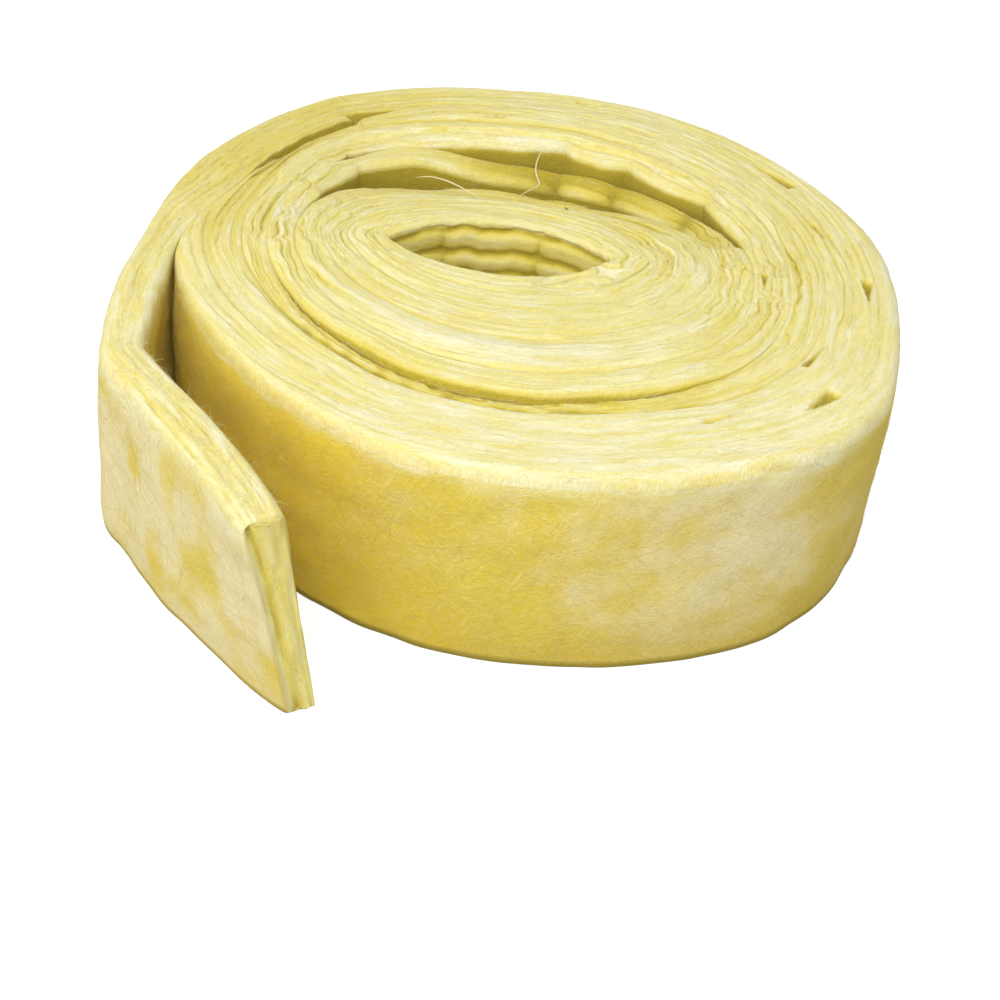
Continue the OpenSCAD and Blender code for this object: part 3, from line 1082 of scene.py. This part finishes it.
    def slit_colour(self, here: Survey, form: EdgeForm, cap: np.ndarray) -> np.ndarray:
        """Where the wool shows its slit layers and where its skin, with a ragged line between.

        Args:
            here: Where the points lie on the strip.
            form: The slit edge's form.
            cap: How far each point lies on the cut end.

        Returns:
            1 on the layers and 0 on the skin.
        """
        near_tail = Stretch.NEAR_TAIL.at(here.angle) * (1 - here.own)
        up = form.z / MM / 6
        ragged = 2.0 * noise(here.u / 9, up, seed=95) + 0.8 * noise(here.u / 2.5, up, seed=94)
        worn = blend(form.below + ragged, -2, 7 - 4 * near_tail)
        slit = 1 - self.own_skin(here, cap) * worn * (1 - here.on[Face.TOP])
        past_rim = 1 - blend(here.from_outer / MM, 0, 3)
        return slit - (0.35 + 0.35 * near_tail) * form.rim * here.on[Face.TOP] * past_rim

    def pale_colour(self, here: Survey, form: EdgeForm, cap: np.ndarray) -> np.ndarray:
        """How pale each point is, from below 0 in the richest gold to 1 in cream; the hanging turn is made
        less pale as painted shade.

        Args:
            here: Where the points lie on the strip.
            form: The slit edge's form.
            cap: How far each point lies on the cut end.

        Returns:
            The paleness at each point.
        """
        plan, relief, t, angle = self.winding, self.relief, here.turned, here.angle
        near_tail = Stretch.NEAR_TAIL.at(angle) * (1 - here.own)
        hanging = relief.during(t, plan.tight_turns) * plan.let_go(angle)
        pressed = relief.during(t, plan.tight_turns + 1) * Stretch.PRESSED.at(angle)
        pale = 0.95 * Band.PALE.at(t) * hump(here.s, 0.5, 0.55)
        pale = pale + 0.5 * Band.PALE_OUTER.at(t) * (1 - form.rim)
        # painted shade: the hanging turn is less pale, as olive gold; the back left is the wool's own deeper
        # yellow
        pale = pale - 0.8 * hanging - 0.5 * self.back_left(here)
        pale = pale + 0.75 * Stretch.LEFT_FLASH.at(angle) * Band.MIDDLE.at(t)
        pale = pale + 0.65 * pressed * (1 - blend(here.q, 3.5, 5.5)) + (0.45 - 0.4 * near_tail) * form.rim
        # the outside grows more golden towards the floor; near the tail it takes a richer, brighter gold,
        # partly the wool's own and partly painted light that lifts the tail's shadow
        gold = 0.3 * (1 - form.z / plan.width) ** 2 + 1.4 * near_tail
        outside = 0.7 * Stretch.FRONT_RIGHT.at(angle) - gold
        tail = 0.65 + 0.65 * noise(here.u / 12, form.z / MM / 17, seed=99) - outside
        pale = pale * here.on[Face.TOP] + (outside * here.bare + tail * here.own) * here.on[Face.OUTER]
        return pale * (1 - cap) + 0.7 * cap * (1 - blend(here.from_outer / MM, 2, 4))

    def shape(self) -> dict[str, np.ndarray]:
        """Works out the skin.

        Returns:
            The points, their pattern map, their three colour fields, their winding and their face.
        """
        here = Survey(self.winding, self.section(), self.stations())
        form = self.edge_form(here)
        flat, folds = self.shifted(here, form)
        flat, cap, cut = self.cut_end(here, form, flat)
        self.skin = {
            "points": np.concatenate([flat + self.origin, form.z[..., None]], -1),
            "pattern": self.pattern(here, form, cap),
            # shade painted as deeper gold in creases, furrows, folds and gaps, with the back left's own
            # deeper yellow
            "shade_and_gold": self.painted_shade(here, form, folds, cap, cut),
            "slit": self.slit_colour(here, form, cap),
            "pale": self.pale_colour(here, form, cap),
            "turned": here.turned,
            "face": np.broadcast_to(here.faces[None], here.s.shape),
        }
        return self.skin

    @staticmethod
    def rounded(distance: np.ndarray, reach: float) -> np.ndarray:
        """Drop of a soft edge at a distance from it: all of its reach at the edge, and nothing past it."""
        return reach * (1 - np.sqrt(1 - np.clip(1 - distance / reach, 0, 1) ** 2.2))

    def make(self) -> bpy.types.Object:
        """Builds the length as a mesh with its pattern map and attributes.

        Returns:
            The object.
        """
        shape = self.shape()
        rings, loop = shape["points"].shape[:2]
        sheet = bmesh.new()
        bmesh.ops.create_grid(sheet, x_segments=loop, y_segments=rings - 1, size=1)
        mesh = bpy.data.meshes.new(self.name)
        sheet.to_mesh(mesh)
        sheet.free()
        flat = np.zeros(len(mesh.vertices) * 3)
        mesh.vertices.foreach_get("co", flat)
        flat = flat.reshape(-1, 3)
        column = np.rint((flat[:, 0] + 1) / 2 * loop).astype(int) % loop
        row = np.rint((flat[:, 1] + 1) / 2 * (rings - 1)).astype(int)
        mesh.vertices.foreach_set("co", shape["points"][row, column].astype(np.float32).ravel())
        corner = np.zeros(len(mesh.loops), dtype=np.int64)
        mesh.loops.foreach_get("vertex_index", corner)
        pattern = mesh.uv_layers.new(name="strip")
        pattern.data.foreach_set("uv", shape["pattern"][row, column][corner].astype(np.float32).ravel())
        for key in ("shade_and_gold", "slit", "pale"):
            layer = mesh.attributes.new(key, "FLOAT", "POINT")
            layer.data.foreach_set("value", shape[key][row, column].astype(np.float32))
        mesh.shade_smooth()
        self.close(mesh)
        return placed(self.name, mesh)

    @staticmethod
    def close(mesh: bpy.types.Mesh) -> None:
        """Merges the section's two ends, caps the strip's ends flat and turns the faces outwards.

        Args:
            mesh: The swept skin, which is changed in place.
        """
        work = bmesh.new()
        work.from_mesh(mesh)
        bmesh.ops.remove_doubles(work, verts=work.verts, dist=1e-6)
        ends = bmesh.ops.holes_fill(work, edges=[edge for edge in work.edges if edge.is_boundary], sides=0)
        for face in ends["faces"]:
            face.smooth = False
        bmesh.ops.recalc_face_normals(work, faces=work.faces)
        work.to_mesh(mesh)
        work.free()


@dataclass
class Fibres:
    """Loose glass fibres lying on a length of wool, each a thin closed thread with pointed ends."""

    name: str
    seed: int
    radius: float = 0.045 * MM
    rows: int = 6
    sides: int = 3
    clearance: float = 0.04 * MM
    curl: float = 0.6
    smoothings: int = 2
    point: float = 0.4
    sideways: tuple[float, float, float] = (0.37, 0.21, 0.91)
    least_ring: float = 1e-5
    least_place: float = 2e-4
    paths: list[np.ndarray] = field(default_factory=list)

    def strew(
        self,
        skin: dict[str, np.ndarray],
        faces: tuple[Face, ...],
        count: int,
        reach: Pair,
        spread: float,
        lift: float,
        where: Pair = (-math.inf, math.inf),
    ) -> None:
        """Lays fibres over some faces of a length.

        Args:
            skin: The length's points and fields by ring and place in the section.
            faces: Faces to lie on.
            count: Number of fibres.
            reach: Shortest and longest fibre, in metres.
            spread: How far the fibres turn away from the strip's direction, in degrees.
            lift: How high the free end of a fibre stands off the wool, in metres.
            where: Degrees of winding between which they lie.
        """
        chance = np.random.default_rng(self.seed)
        points = skin["points"]
        chosen = np.isin(skin["face"], [face.value for face in faces])
        chosen = chosen & (skin["turned"] >= where[0]) & (skin["turned"] <= where[1])
        ring_gap = np.linalg.norm(np.roll(points, -1, 0) - points, axis=-1)
        place_gap = np.linalg.norm(np.roll(points, -1, 1) - points, axis=-1)
        weight = (ring_gap * place_gap * chosen)[:-1].ravel()
        starts = chance.choice(len(weight), count, p=weight / weight.sum())
        ring, place = np.unravel_index(starts, (points.shape[0] - 1, points.shape[1]))
        length = chance.uniform(*reach, count)
        heading = np.radians(chance.normal(0, spread, count)) + np.pi * chance.integers(0, 2, count)
        curl = chance.normal(0, self.curl, count) / length
        steps = np.linspace(0, 1, self.rows)
        along, across = ring.astype(float), place.astype(float)
        raised = lift * chance.random(count) ** 3
        track = []
        for step in steps:
            row = np.clip(np.rint(along), 1, points.shape[0] - 2).astype(int)
            spot = np.rint(across).astype(int) % points.shape[1]
            flow = points[row + 1, spot] - points[row - 1, spot]
            climb = points[row, (spot + 1) % points.shape[1]] - points[row, spot - 1]
            normal = np.cross(climb, flow)
            normal /= np.maximum(np.linalg.norm(normal, axis=1), 1e-9)[:, None]
            height = self.clearance + raised * step**2
            laid = points[row, spot] + normal * height[:, None]
            laid[:, 2] = np.maximum(laid[:, 2], self.radius)
            track.append(laid)
            stride = length / (self.rows - 1)
            ring_size = np.maximum(np.linalg.norm(flow, axis=1) / 2, self.least_ring)
            place_size = np.maximum(np.linalg.norm(climb, axis=1) / 2, self.least_place)
            along += stride * np.cos(heading) / ring_size
            across += stride * np.sin(heading) / place_size
            heading += curl * stride
        self.paths.append(np.stack(track, 1))

    def lay(self, points: tuple[tuple[float, float, float], ...], origin: np.ndarray) -> None:
        """Lays one thread through listed points.

        Args:
            points: Places from the roll's middle, in millimetres.
            origin: Where the roll's middle lies in plan.
        """
        route = np.array(points) * MM
        route[:, :2] += origin
        way = np.linspace(0, len(route) - 1, self.rows)
        path = [np.interp(way, np.arange(len(route)), route[:, k]) for k in range(3)]
        self.paths.append(np.stack(path, 1)[None])

    def make(self) -> bpy.types.Object:
        """Builds all the threads as one mesh.

        Returns:
            The object.
        """
        paths = np.concatenate(self.paths)
        for _ in range(self.smoothings):
            paths[:, 1:-1] = (paths[:, :-2] + 2 * paths[:, 1:-1] + paths[:, 2:]) / 4
        count, rows = paths.shape[:2]
        ahead = np.gradient(paths, axis=1)
        ahead /= np.maximum(np.linalg.norm(ahead, axis=-1), 1e-9)[..., None]
        side = np.cross(ahead, np.array(self.sideways))
        side /= np.maximum(np.linalg.norm(side, axis=-1), 1e-9)[..., None]
        up = np.cross(side, ahead)
        taper = self.radius * np.sin(np.pi * np.linspace(0, 1, rows)) ** self.point
        taper[[0, -1]] = 0
        turn = np.arange(self.sides) / self.sides * 2 * np.pi
        cosine, sine = np.cos(turn)[None, None, :, None], np.sin(turn)[None, None, :, None]
        wheel = side[:, :, None] * cosine + up[:, :, None] * sine
        places = (paths[:, :, None] + wheel * taper[None, :, None, None]).reshape(count * rows, self.sides, 3)
        work = bmesh.new()
        bmesh.ops.create_grid(work, x_segments=self.sides, y_segments=count * rows - 1, size=1)
        column = [round((vert.co.x + 1) / 2 * self.sides) % self.sides for vert in work.verts]
        row = [round((vert.co.y + 1) / 2 * (count * rows - 1)) for vert in work.verts]
        for vert, here, level in zip(work.verts, column, row):
            vert.co = places[level, here]
            vert.index = level
        bridges = [face for face in work.faces if {vert.index % rows for vert in face.verts} == {0, rows - 1}]
        bmesh.ops.delete(work, geom=bridges, context="FACES_ONLY")
        bmesh.ops.remove_doubles(work, verts=work.verts, dist=1e-7)
        bmesh.ops.recalc_face_normals(work, faces=work.faces)
        mesh = bpy.data.meshes.new(self.name)
        work.to_mesh(mesh)
        work.free()
        mesh.shade_smooth()
        return placed(self.name, mesh)


# ---------------------------------------------------------------- finishes


@dataclass(frozen=True)
class WoolFinish:
    """Matt glass wool: layered and streaky on the slit edges, mottled on the faces."""

    name: str = "glass_wool"
    white: Colour = (0.92, 0.89, 0.63, 1)
    pale: Colour = (0.87, 0.79, 0.34, 1)
    lemon: Colour = (0.84, 0.735, 0.19, 1)
    # gold: the wool's own streaks, and painted shade in the creases of the slit edges
    gold: Colour = (0.73, 0.59, 0.07, 1)
    # painted shade: dark gold in the deepest creases, folds and gaps
    shaded_gold: Colour = (0.42, 0.32, 0.02, 1)
    face: Colour = (0.71, 0.54, 0.05, 1)
    # a richer, brighter gold near the tail: partly the wool's own and partly painted light that lifts the
    # tail's shadow
    rich_lit_gold: Colour = (0.90, 0.66, 0.02, 1)
    # amber: the wool's own clouds and grain on the faces, and painted shade in their folds, gaps and low down
    amber: Colour = (0.60, 0.425, 0.03, 1)
    cream: Colour = (0.81, 0.715, 0.42, 1)
    sheen_tint: Colour = (1.0, 0.93, 0.62, 1)
    thread: float = 0.26
    # strength of the painted shade tints, and of the richer gold near the tail
    depth: float = 0.85
    roughness: float = 0.95
    specular: float = 0.2
    sheen: float = 0.08
    sheen_roughness: float = 0.7
    bump: float = 0.5
    bump_height: float = 0.6 * MM


@dataclass(frozen=True)
class FibreFinish:
    """Pale, slightly glossy glass threads."""

    name: str = "glass_fibre"
    light: Colour = (0.93, 0.90, 0.70, 1)
    warm: Colour = (0.85, 0.72, 0.30, 1)
    patches: float = 60.0
    roughness: float = 0.5

    def make(self) -> bpy.types.Material:
        """Builds the material, with threads that differ a little from place to place.

        Returns:
            The material.
        """
        material = bpy.data.materials.new(self.name)
        material.use_nodes = True
        nodes, links = material.node_tree.nodes, material.node_tree.links
        shader = nodes["Principled BSDF"]
        place, patch, mix = (nodes.new(f"ShaderNode{kind}") for kind in ("TexCoord", "TexNoise", "Mix"))
        patch.inputs["Scale"].default_value = self.patches
        mix.data_type = "RGBA"
        mix.inputs[6].default_value = self.light
        mix.inputs[7].default_value = self.warm
        links.new(place.outputs["Object"], patch.inputs["Vector"])
        links.new(patch.outputs["Fac"], mix.inputs[0])
        links.new(mix.outputs[2], shader.inputs["Base Color"])
        shader.inputs["Roughness"].default_value = self.roughness
        return material


class WoolShader:
    """Builds the wool's node tree from its finish."""

    def __init__(self, finish: WoolFinish) -> None:
        """Starts the material and keeps its node tree at hand.

        Args:
            finish: The wool's colours.
        """
        self.finish = finish
        self.material = bpy.data.materials.new(finish.name)
        self.material.use_nodes = True
        self.tree = self.material.node_tree
        self.shader = self.tree.nodes["Principled BSDF"]
        self.pattern = self.add("ShaderNodeUVMap")
        self.pattern.uv_map = "strip"

    def add(self, kind: str) -> bpy.types.Node:
        """Adds a node of the given kind."""
        return self.tree.nodes.new(kind)

    def join(self, source: Socket, target: Socket) -> None:
        """Links two sockets."""
        self.tree.links.new(source, target)

    def field(self, name: str) -> Socket:
        """Reads a mesh attribute.

        Args:
            name: The attribute's name.

        Returns:
            Its value.
        """
        node = self.add("ShaderNodeAttribute")
        node.attribute_name = name
        return node.outputs["Fac"]

    def streaks(self, scale: Pair, turn: float = 0.0, detail: float = 3.0, swirl: float = 0.0) -> Socket:
        """Noise drawn out along the strip.

        Args:
            scale: Cells for each metre along and across the strip.
            turn: Angle of the streaks to the strip, in degrees.
            detail: Detail of the noise.
            swirl: How far the streaks bend.

        Returns:
            The noise's value.
        """
        turned = self.add("ShaderNodeVectorRotate")
        turned.rotation_type = "Z_AXIS"
        turned.inputs["Angle"].default_value = math.radians(turn)
        stretch = self.add("ShaderNodeMapping")
        stretch.inputs["Scale"].default_value = (scale[0], scale[1], 1)
        grain = self.add("ShaderNodeTexNoise")
        grain.inputs["Scale"].default_value = 1
        grain.inputs["Detail"].default_value = detail
        grain.inputs["Roughness"].default_value = 0.6
        grain.inputs["Distortion"].default_value = swirl
        self.join(self.pattern.outputs["UV"], turned.inputs["Vector"])
        self.join(turned.outputs["Vector"], stretch.inputs["Vector"])
        self.join(stretch.outputs["Vector"], grain.inputs["Vector"])
        return grain.outputs["Fac"]

    def sharpen(self, value: Socket, low: float, high: float) -> Socket:
        """Stretches a value over a smooth step.

        Args:
            value: The value.
            low: What becomes 0.
            high: What becomes 1.

        Returns:
            The stretched value.
        """
        node = self.add("ShaderNodeMapRange")
        node.interpolation_type = "SMOOTHSTEP"
        node.inputs["From Min"].default_value = low
        node.inputs["From Max"].default_value = high
        self.join(value, node.inputs["Value"])
        return node.outputs["Result"]

    def mix(self, share: Socket, first: Socket | Colour, second: Socket | Colour) -> Socket:
        """Mixes two colours, each a socket or a constant.

        Args:
            share: Share of the second colour.
            first: Colour where the share is 0.
            second: Colour where the share is 1.

        Returns:
            The mixed colour.
        """
        node = self.add("ShaderNodeMix")
        node.data_type = "RGBA"
        self.join(share, node.inputs[0])
        for socket, colour in ((node.inputs[6], first), (node.inputs[7], second)):
            if isinstance(colour, tuple):
                socket.default_value = colour
            else:
                self.join(colour, socket)
        return node.outputs[2]

    def hairs(self, scale: Pair, turn: float, width: float) -> Socket:
        """Thin wandering lines, like single fibres, at an angle to the strip.

        Args:
            scale: Cells for each metre along and across the lines.
            turn: Angle of the lines to the strip, in degrees.
            width: Share of the pattern that the lines take.

        Returns:
            1 in the middle of a line and 0 between the lines.
        """
        off = self.math("SUBTRACT", self.streaks(scale, turn, 1.5, 0.6), 0.5)
        return self.sharpen(self.math("ABSOLUTE", off, 0), width, 0)

    def tint(self, base: Socket, colour: Colour, where: Socket, strength: float) -> Socket:
        """Lays a colour over another where a value is high, at some strength."""
        return self.mix(self.math("MULTIPLY", where, strength), base, colour)

    def sum(self, first: Socket, first_share: float, second: Socket, second_share: float) -> Socket:
        """Adds a share of one value to a share of another."""
        parts = [self.math("MULTIPLY", first, first_share), self.math("MULTIPLY", second, second_share)]
        return self.math("ADD", *parts)

    def math(self, kind: str, first: Socket | float, second: Socket | float) -> Socket:
        """Combines two values, each a socket or a number.

        Args:
            kind: The operation.
            first: First value.
            second: Second value.

        Returns:
            The result, held between 0 and 1 unless it is a difference.
        """
        node = self.add("ShaderNodeMath")
        node.operation = kind
        node.use_clamp = kind != "SUBTRACT"
        for socket, value in zip(node.inputs, (first, second)):
            if isinstance(value, (int, float)):
                socket.default_value = value
            else:
                self.join(value, socket)
        return node.outputs[0]

    def build(self) -> bpy.types.Material:
        """Wires the colours and the fine relief.

        Returns:
            The material.
        """
        finish = self.finish
        shade_and_gold, slit, pale = self.field("shade_and_gold"), self.field("slit"), self.field("pale")
        sets = [self.hairs((110, 950), turn, 0.045) for turn in (18, 66, -40)]
        hairs = self.math("MAXIMUM", self.math("MAXIMUM", sets[0], sets[1]), sets[2])
        grain = self.sharpen(self.streaks((380, 1500), 12, 2), 0.38, 0.64)
        # slit edge: pale layers, near-white streaks, and gold painted as shade in the creases
        cloud = self.streaks((16, 60), detail=4)
        bright = self.math("ADD", self.streaks((42, 330)), self.math("MULTIPLY", pale, 0.22))
        white = self.sharpen(bright, 0.45, 0.75)
        sunny = self.sharpen(self.streaks((44, 260), detail=4), 0.46, 0.72)
        lines = self.sharpen(self.streaks((80, 1100), detail=3, swirl=0.5), 0.46, 0.68)
        edge = self.mix(self.sharpen(cloud, 0.35, 0.65), finish.pale, finish.lemon)
        edge = self.mix(white, edge, finish.white)
        edge = self.tint(edge, finish.gold, sunny, 0.32)
        edge = self.tint(edge, finish.white, lines, finish.thread)
        edge = self.tint(edge, finish.white, hairs, finish.thread)
        # painted shade: gold in the creases, dark gold in the deepest shade
        edge = self.tint(edge, finish.gold, self.sharpen(shade_and_gold, 0.0, 0.75), finish.depth)
        edge = self.tint(edge, finish.shaded_gold, self.sharpen(shade_and_gold, 0.55, 1.0), finish.depth)
        # faces: golden with cream patches of crossed fibres
        clumps = self.sum(self.streaks((22, 26), detail=4), 0.6, self.streaks((75, 50), -50, 4), 0.4)
        patch = self.sharpen(self.math("ADD", clumps, self.math("MULTIPLY", pale, 0.3)), 0.45, 0.77)
        wall = self.mix(patch, finish.face, finish.cream)
        wall = self.tint(wall, finish.amber, self.sharpen(cloud, 0.5, 0.7), 0.3)
        # painted shade on the faces, as amber
        wall = self.tint(wall, finish.amber, self.sharpen(shade_and_gold, 0.1, 0.9), finish.depth)
        # a richer gold near the tail, partly painted light lifting the tail's shadow
        wall = self.tint(wall, finish.rich_lit_gold, self.sharpen(pale, -0.3, -1.3), finish.depth)
        wall = self.tint(wall, finish.pale, hairs, finish.thread)
        wall = self.tint(wall, finish.amber, grain, 0.16)
        edge = self.tint(edge, finish.gold, grain, 0.18)
        colour = self.mix(slit, wall, edge)
        self.join(colour, self.shader.inputs["Base Color"])
        for socket, value in (
            ("Roughness", finish.roughness), ("Specular IOR Level", finish.specular),
            ("Sheen Weight", finish.sheen), ("Sheen Roughness", finish.sheen_roughness),
            ("Sheen Tint", finish.sheen_tint),
        ):
            self.shader.inputs[socket].default_value = value
        # fine fibres
        along = self.streaks((110, 1900), detail=2)
        crossed = self.sum(hairs, 0.5, along, 0.35)
        crossed = self.math("ADD", crossed, self.math("MULTIPLY", grain, 0.2))
        bump = self.add("ShaderNodeBump")
        bump.inputs["Strength"].default_value = finish.bump
        bump.inputs["Distance"].default_value = finish.bump_height
        self.join(crossed, bump.inputs["Height"])
        self.join(bump.outputs["Normal"], self.shader.inputs["Normal"])
        return self.material


# ---------------------------------------------------------------- studio


@dataclass
class Studio:
    """Pale floor, soft light and the camera."""

    middle: np.ndarray
    place: tuple[float, float, float] = (-3.4 * MM, -590.4 * MM, 390.1 * MM)
    pitch: float = 36.0
    roll: float = 6.39
    lens: float = 64.8
    sensor: float = 36.0
    nearest: float = 0.05
    floor_half: float = 6.0
    floor_grey: float = 0.6
    floor_glow: float = 0.7
    sky: float = 0.56
    lamps: tuple[tuple[str, tuple[float, float, float], float, float], ...] = (
        ("key", (-0.1, -0.8, 1.2), 0.6, 10.6), ("fill", (-0.9, -1.0, 0.8), 1.0, 7),
    )

    def camera(self) -> None:
        """Sets the camera in front of the roll, looking down on it."""
        data = bpy.data.cameras.new("camera")
        data.lens = self.lens
        data.sensor_width = self.sensor
        data.clip_start = self.nearest
        camera = placed("camera", data)
        tilt = Matrix.Rotation(math.radians(90 - self.pitch), 4, "X")
        roll = Matrix.Rotation(math.radians(self.roll), 4, "Z")
        spot = Vector((self.place[0] + self.middle[0], self.place[1] + self.middle[1], self.place[2]))
        camera.matrix_world = Matrix.Translation(spot) @ tilt @ roll
        bpy.context.scene.camera = camera

    def floor(self) -> None:
        """Lays a pale floor that shows white to the camera and keeps the shadow."""
        data = bpy.data.meshes.new("floor")
        work = bmesh.new()
        bmesh.ops.create_grid(work, x_segments=1, y_segments=1, size=self.floor_half)
        work.to_mesh(data)
        work.free()
        floor = placed("floor", data)
        material = bpy.data.materials.new("floor")
        material.use_nodes = True
        nodes, links = material.node_tree.nodes, material.node_tree.links
        paint = nodes["Principled BSDF"]
        paint.inputs["Base Color"].default_value = (self.floor_grey, self.floor_grey, self.floor_grey, 1)
        paint.inputs["Roughness"].default_value = 1
        glow, total = (nodes.new(f"ShaderNode{kind}") for kind in ("Emission", "AddShader"))
        self.when_seen(material.node_tree, glow.inputs["Strength"], self.floor_glow, 0)
        links.new(paint.outputs[0], total.inputs[0])
        links.new(glow.outputs[0], total.inputs[1])
        links.new(total.outputs[0], nodes["Material Output"].inputs["Surface"])
        floor.data.materials.append(material)
        floor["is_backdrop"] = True

    @staticmethod
    def when_seen(tree: bpy.types.NodeTree, target: Socket, seen: float, base: float) -> None:
        """Drives a strength: its base, and more on what is seen straight on or in a gloss.

        Args:
            tree: Node tree of the material or the world.
            target: Strength to drive.
            seen: What is added where it is seen.
            base: Strength everywhere.
        """
        path, either, total = (tree.nodes.new(f"ShaderNode{kind}") for kind in ("LightPath", "Math", "Math"))
        either.operation = "MAXIMUM"
        total.operation = "MULTIPLY_ADD"
        total.inputs[1].default_value = seen
        total.inputs[2].default_value = base
        tree.links.new(path.outputs["Is Camera Ray"], either.inputs[0])
        tree.links.new(path.outputs["Is Glossy Ray"], either.inputs[1])
        tree.links.new(either.outputs[0], total.inputs[0])
        tree.links.new(total.outputs[0], target)

    def lights(self) -> None:
        """Sets the world and two soft lamps."""
        world = bpy.data.worlds.new("world")
        bpy.context.scene.world = world
        world.use_nodes = True
        background = world.node_tree.nodes["Background"]
        background.inputs[0].default_value = (1, 1, 1, 1)
        self.when_seen(world.node_tree, background.inputs[1], 1 - self.sky, self.sky)
        for name, spot, size, power in self.lamps:
            data = bpy.data.lights.new(name, "AREA")
            data.size = size
            data.energy = power
            lamp = placed(name, data)
            aim = (-Vector(spot)).to_track_quat("-Z", "Y").to_matrix().to_4x4()
            lamp.matrix_world = Matrix.Translation(spot) @ aim


def main() -> None:
    """Builds the roll around its frame, dresses it and sets the studio."""
    logging.basicConfig(level=logging.INFO, format="%(message)s")
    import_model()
    low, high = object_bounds()
    plan = Winding()
    plan.lay()
    relief = Relief(plan)
    middle = np.array([high.x - plan.rim_x / 2, high.y - plan.rim_y / 2])
    last = plan.last
    # degrees of winding from and to, ring step, and points over the top, up the inside and down the outside
    spans = {
        "eye_turn": (plan.start, 345, 1.0 * MM, 40, 56, 6),
        "tight_turns": (345, 1080, 1.1 * MM, 40, 8, 8),
        "hanging_turn": (1080, 1440, 1.1 * MM, 44, 30, 8),
        "pressed_turns": (1440, last - TURN, 1.2 * MM, 48, 20, 8),
        "outer_turn": (last - TURN, last, 1.2 * MM, 66, 8, 34),
        "loose_end": (last, last, 1.1 * MM, 50, 36, 36),
    }
    lengths = [WoolLength(name, plan, relief, middle, *span) for name, span in spans.items()]
    lengths[-1].ending = Ending.CUT
    wool, thread = WoolShader(WoolFinish()).build(), FibreFinish().make()
    warm_thread = FibreFinish("side_fibre", (0.86, 0.74, 0.32, 1), (0.76, 0.60, 0.15, 1)).make()
    pieces = [(length.make(), wool) for length in lengths]
    top, sides = Fibres("edge_fibres", 11), Fibres("face_fibres", 23, 0.035 * MM)
    short, long, end_only = (3 * MM, 12 * MM), (5 * MM, 20 * MM), (last + 81, math.inf)
    counts = (600, 1200, 900, 1500, 2000, 900)
    for length, count in zip(lengths, counts):
        top.strew(length.skin, (Face.TOP,), count, short, 22, 1.6 * MM)
    outer, loose = (length.skin for length in lengths[-2:])
    sides.strew(outer, (Face.OUTER,), 3600, long, 45, 1.0 * MM, (last - TURN + 50, math.inf))
    sides.strew(loose, (Face.OUTER,), 1900, long, 45, 1.0 * MM)
    top.strew(loose, (Face.TOP,), 500, (3 * MM, 9 * MM), 70, 5 * MM, end_only)
    sides.strew(loose, (Face.INNER,), 800, (5 * MM, 15 * MM), 45, 1.5 * MM)
    stray, fleck = Fibres("stray_threads", 5, 0.32 * MM, 18), Fibres("fleck", 7, 0.4 * MM)
    for thread_path in THREADS:
        stray.lay(thread_path, middle)
    fleck.lay(FLECK, middle)
    dirt = FibreFinish("dark_fleck", (0.10, 0.07, 0.03, 1), (0.16, 0.11, 0.05, 1)).make()
    pieces += [(top.make(), thread), (sides.make(), warm_thread)]
    pieces += [(stray.make(), thread), (fleck.make(), dirt)]
    for piece, finish in pieces:
        piece.data.materials.append(finish)
        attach(piece, "root")
        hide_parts("wool_roll")
        piece.data.calc_loop_triangles()
        log.info("%s: %d triangles", piece.name, len(piece.data.loop_triangles))
    studio = Studio(middle)
    studio.camera()
    studio.floor()
    studio.lights()
    bpy.context.scene.view_settings.view_transform = "Standard"
    low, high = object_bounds()


if __name__ == "__main__":
    main()
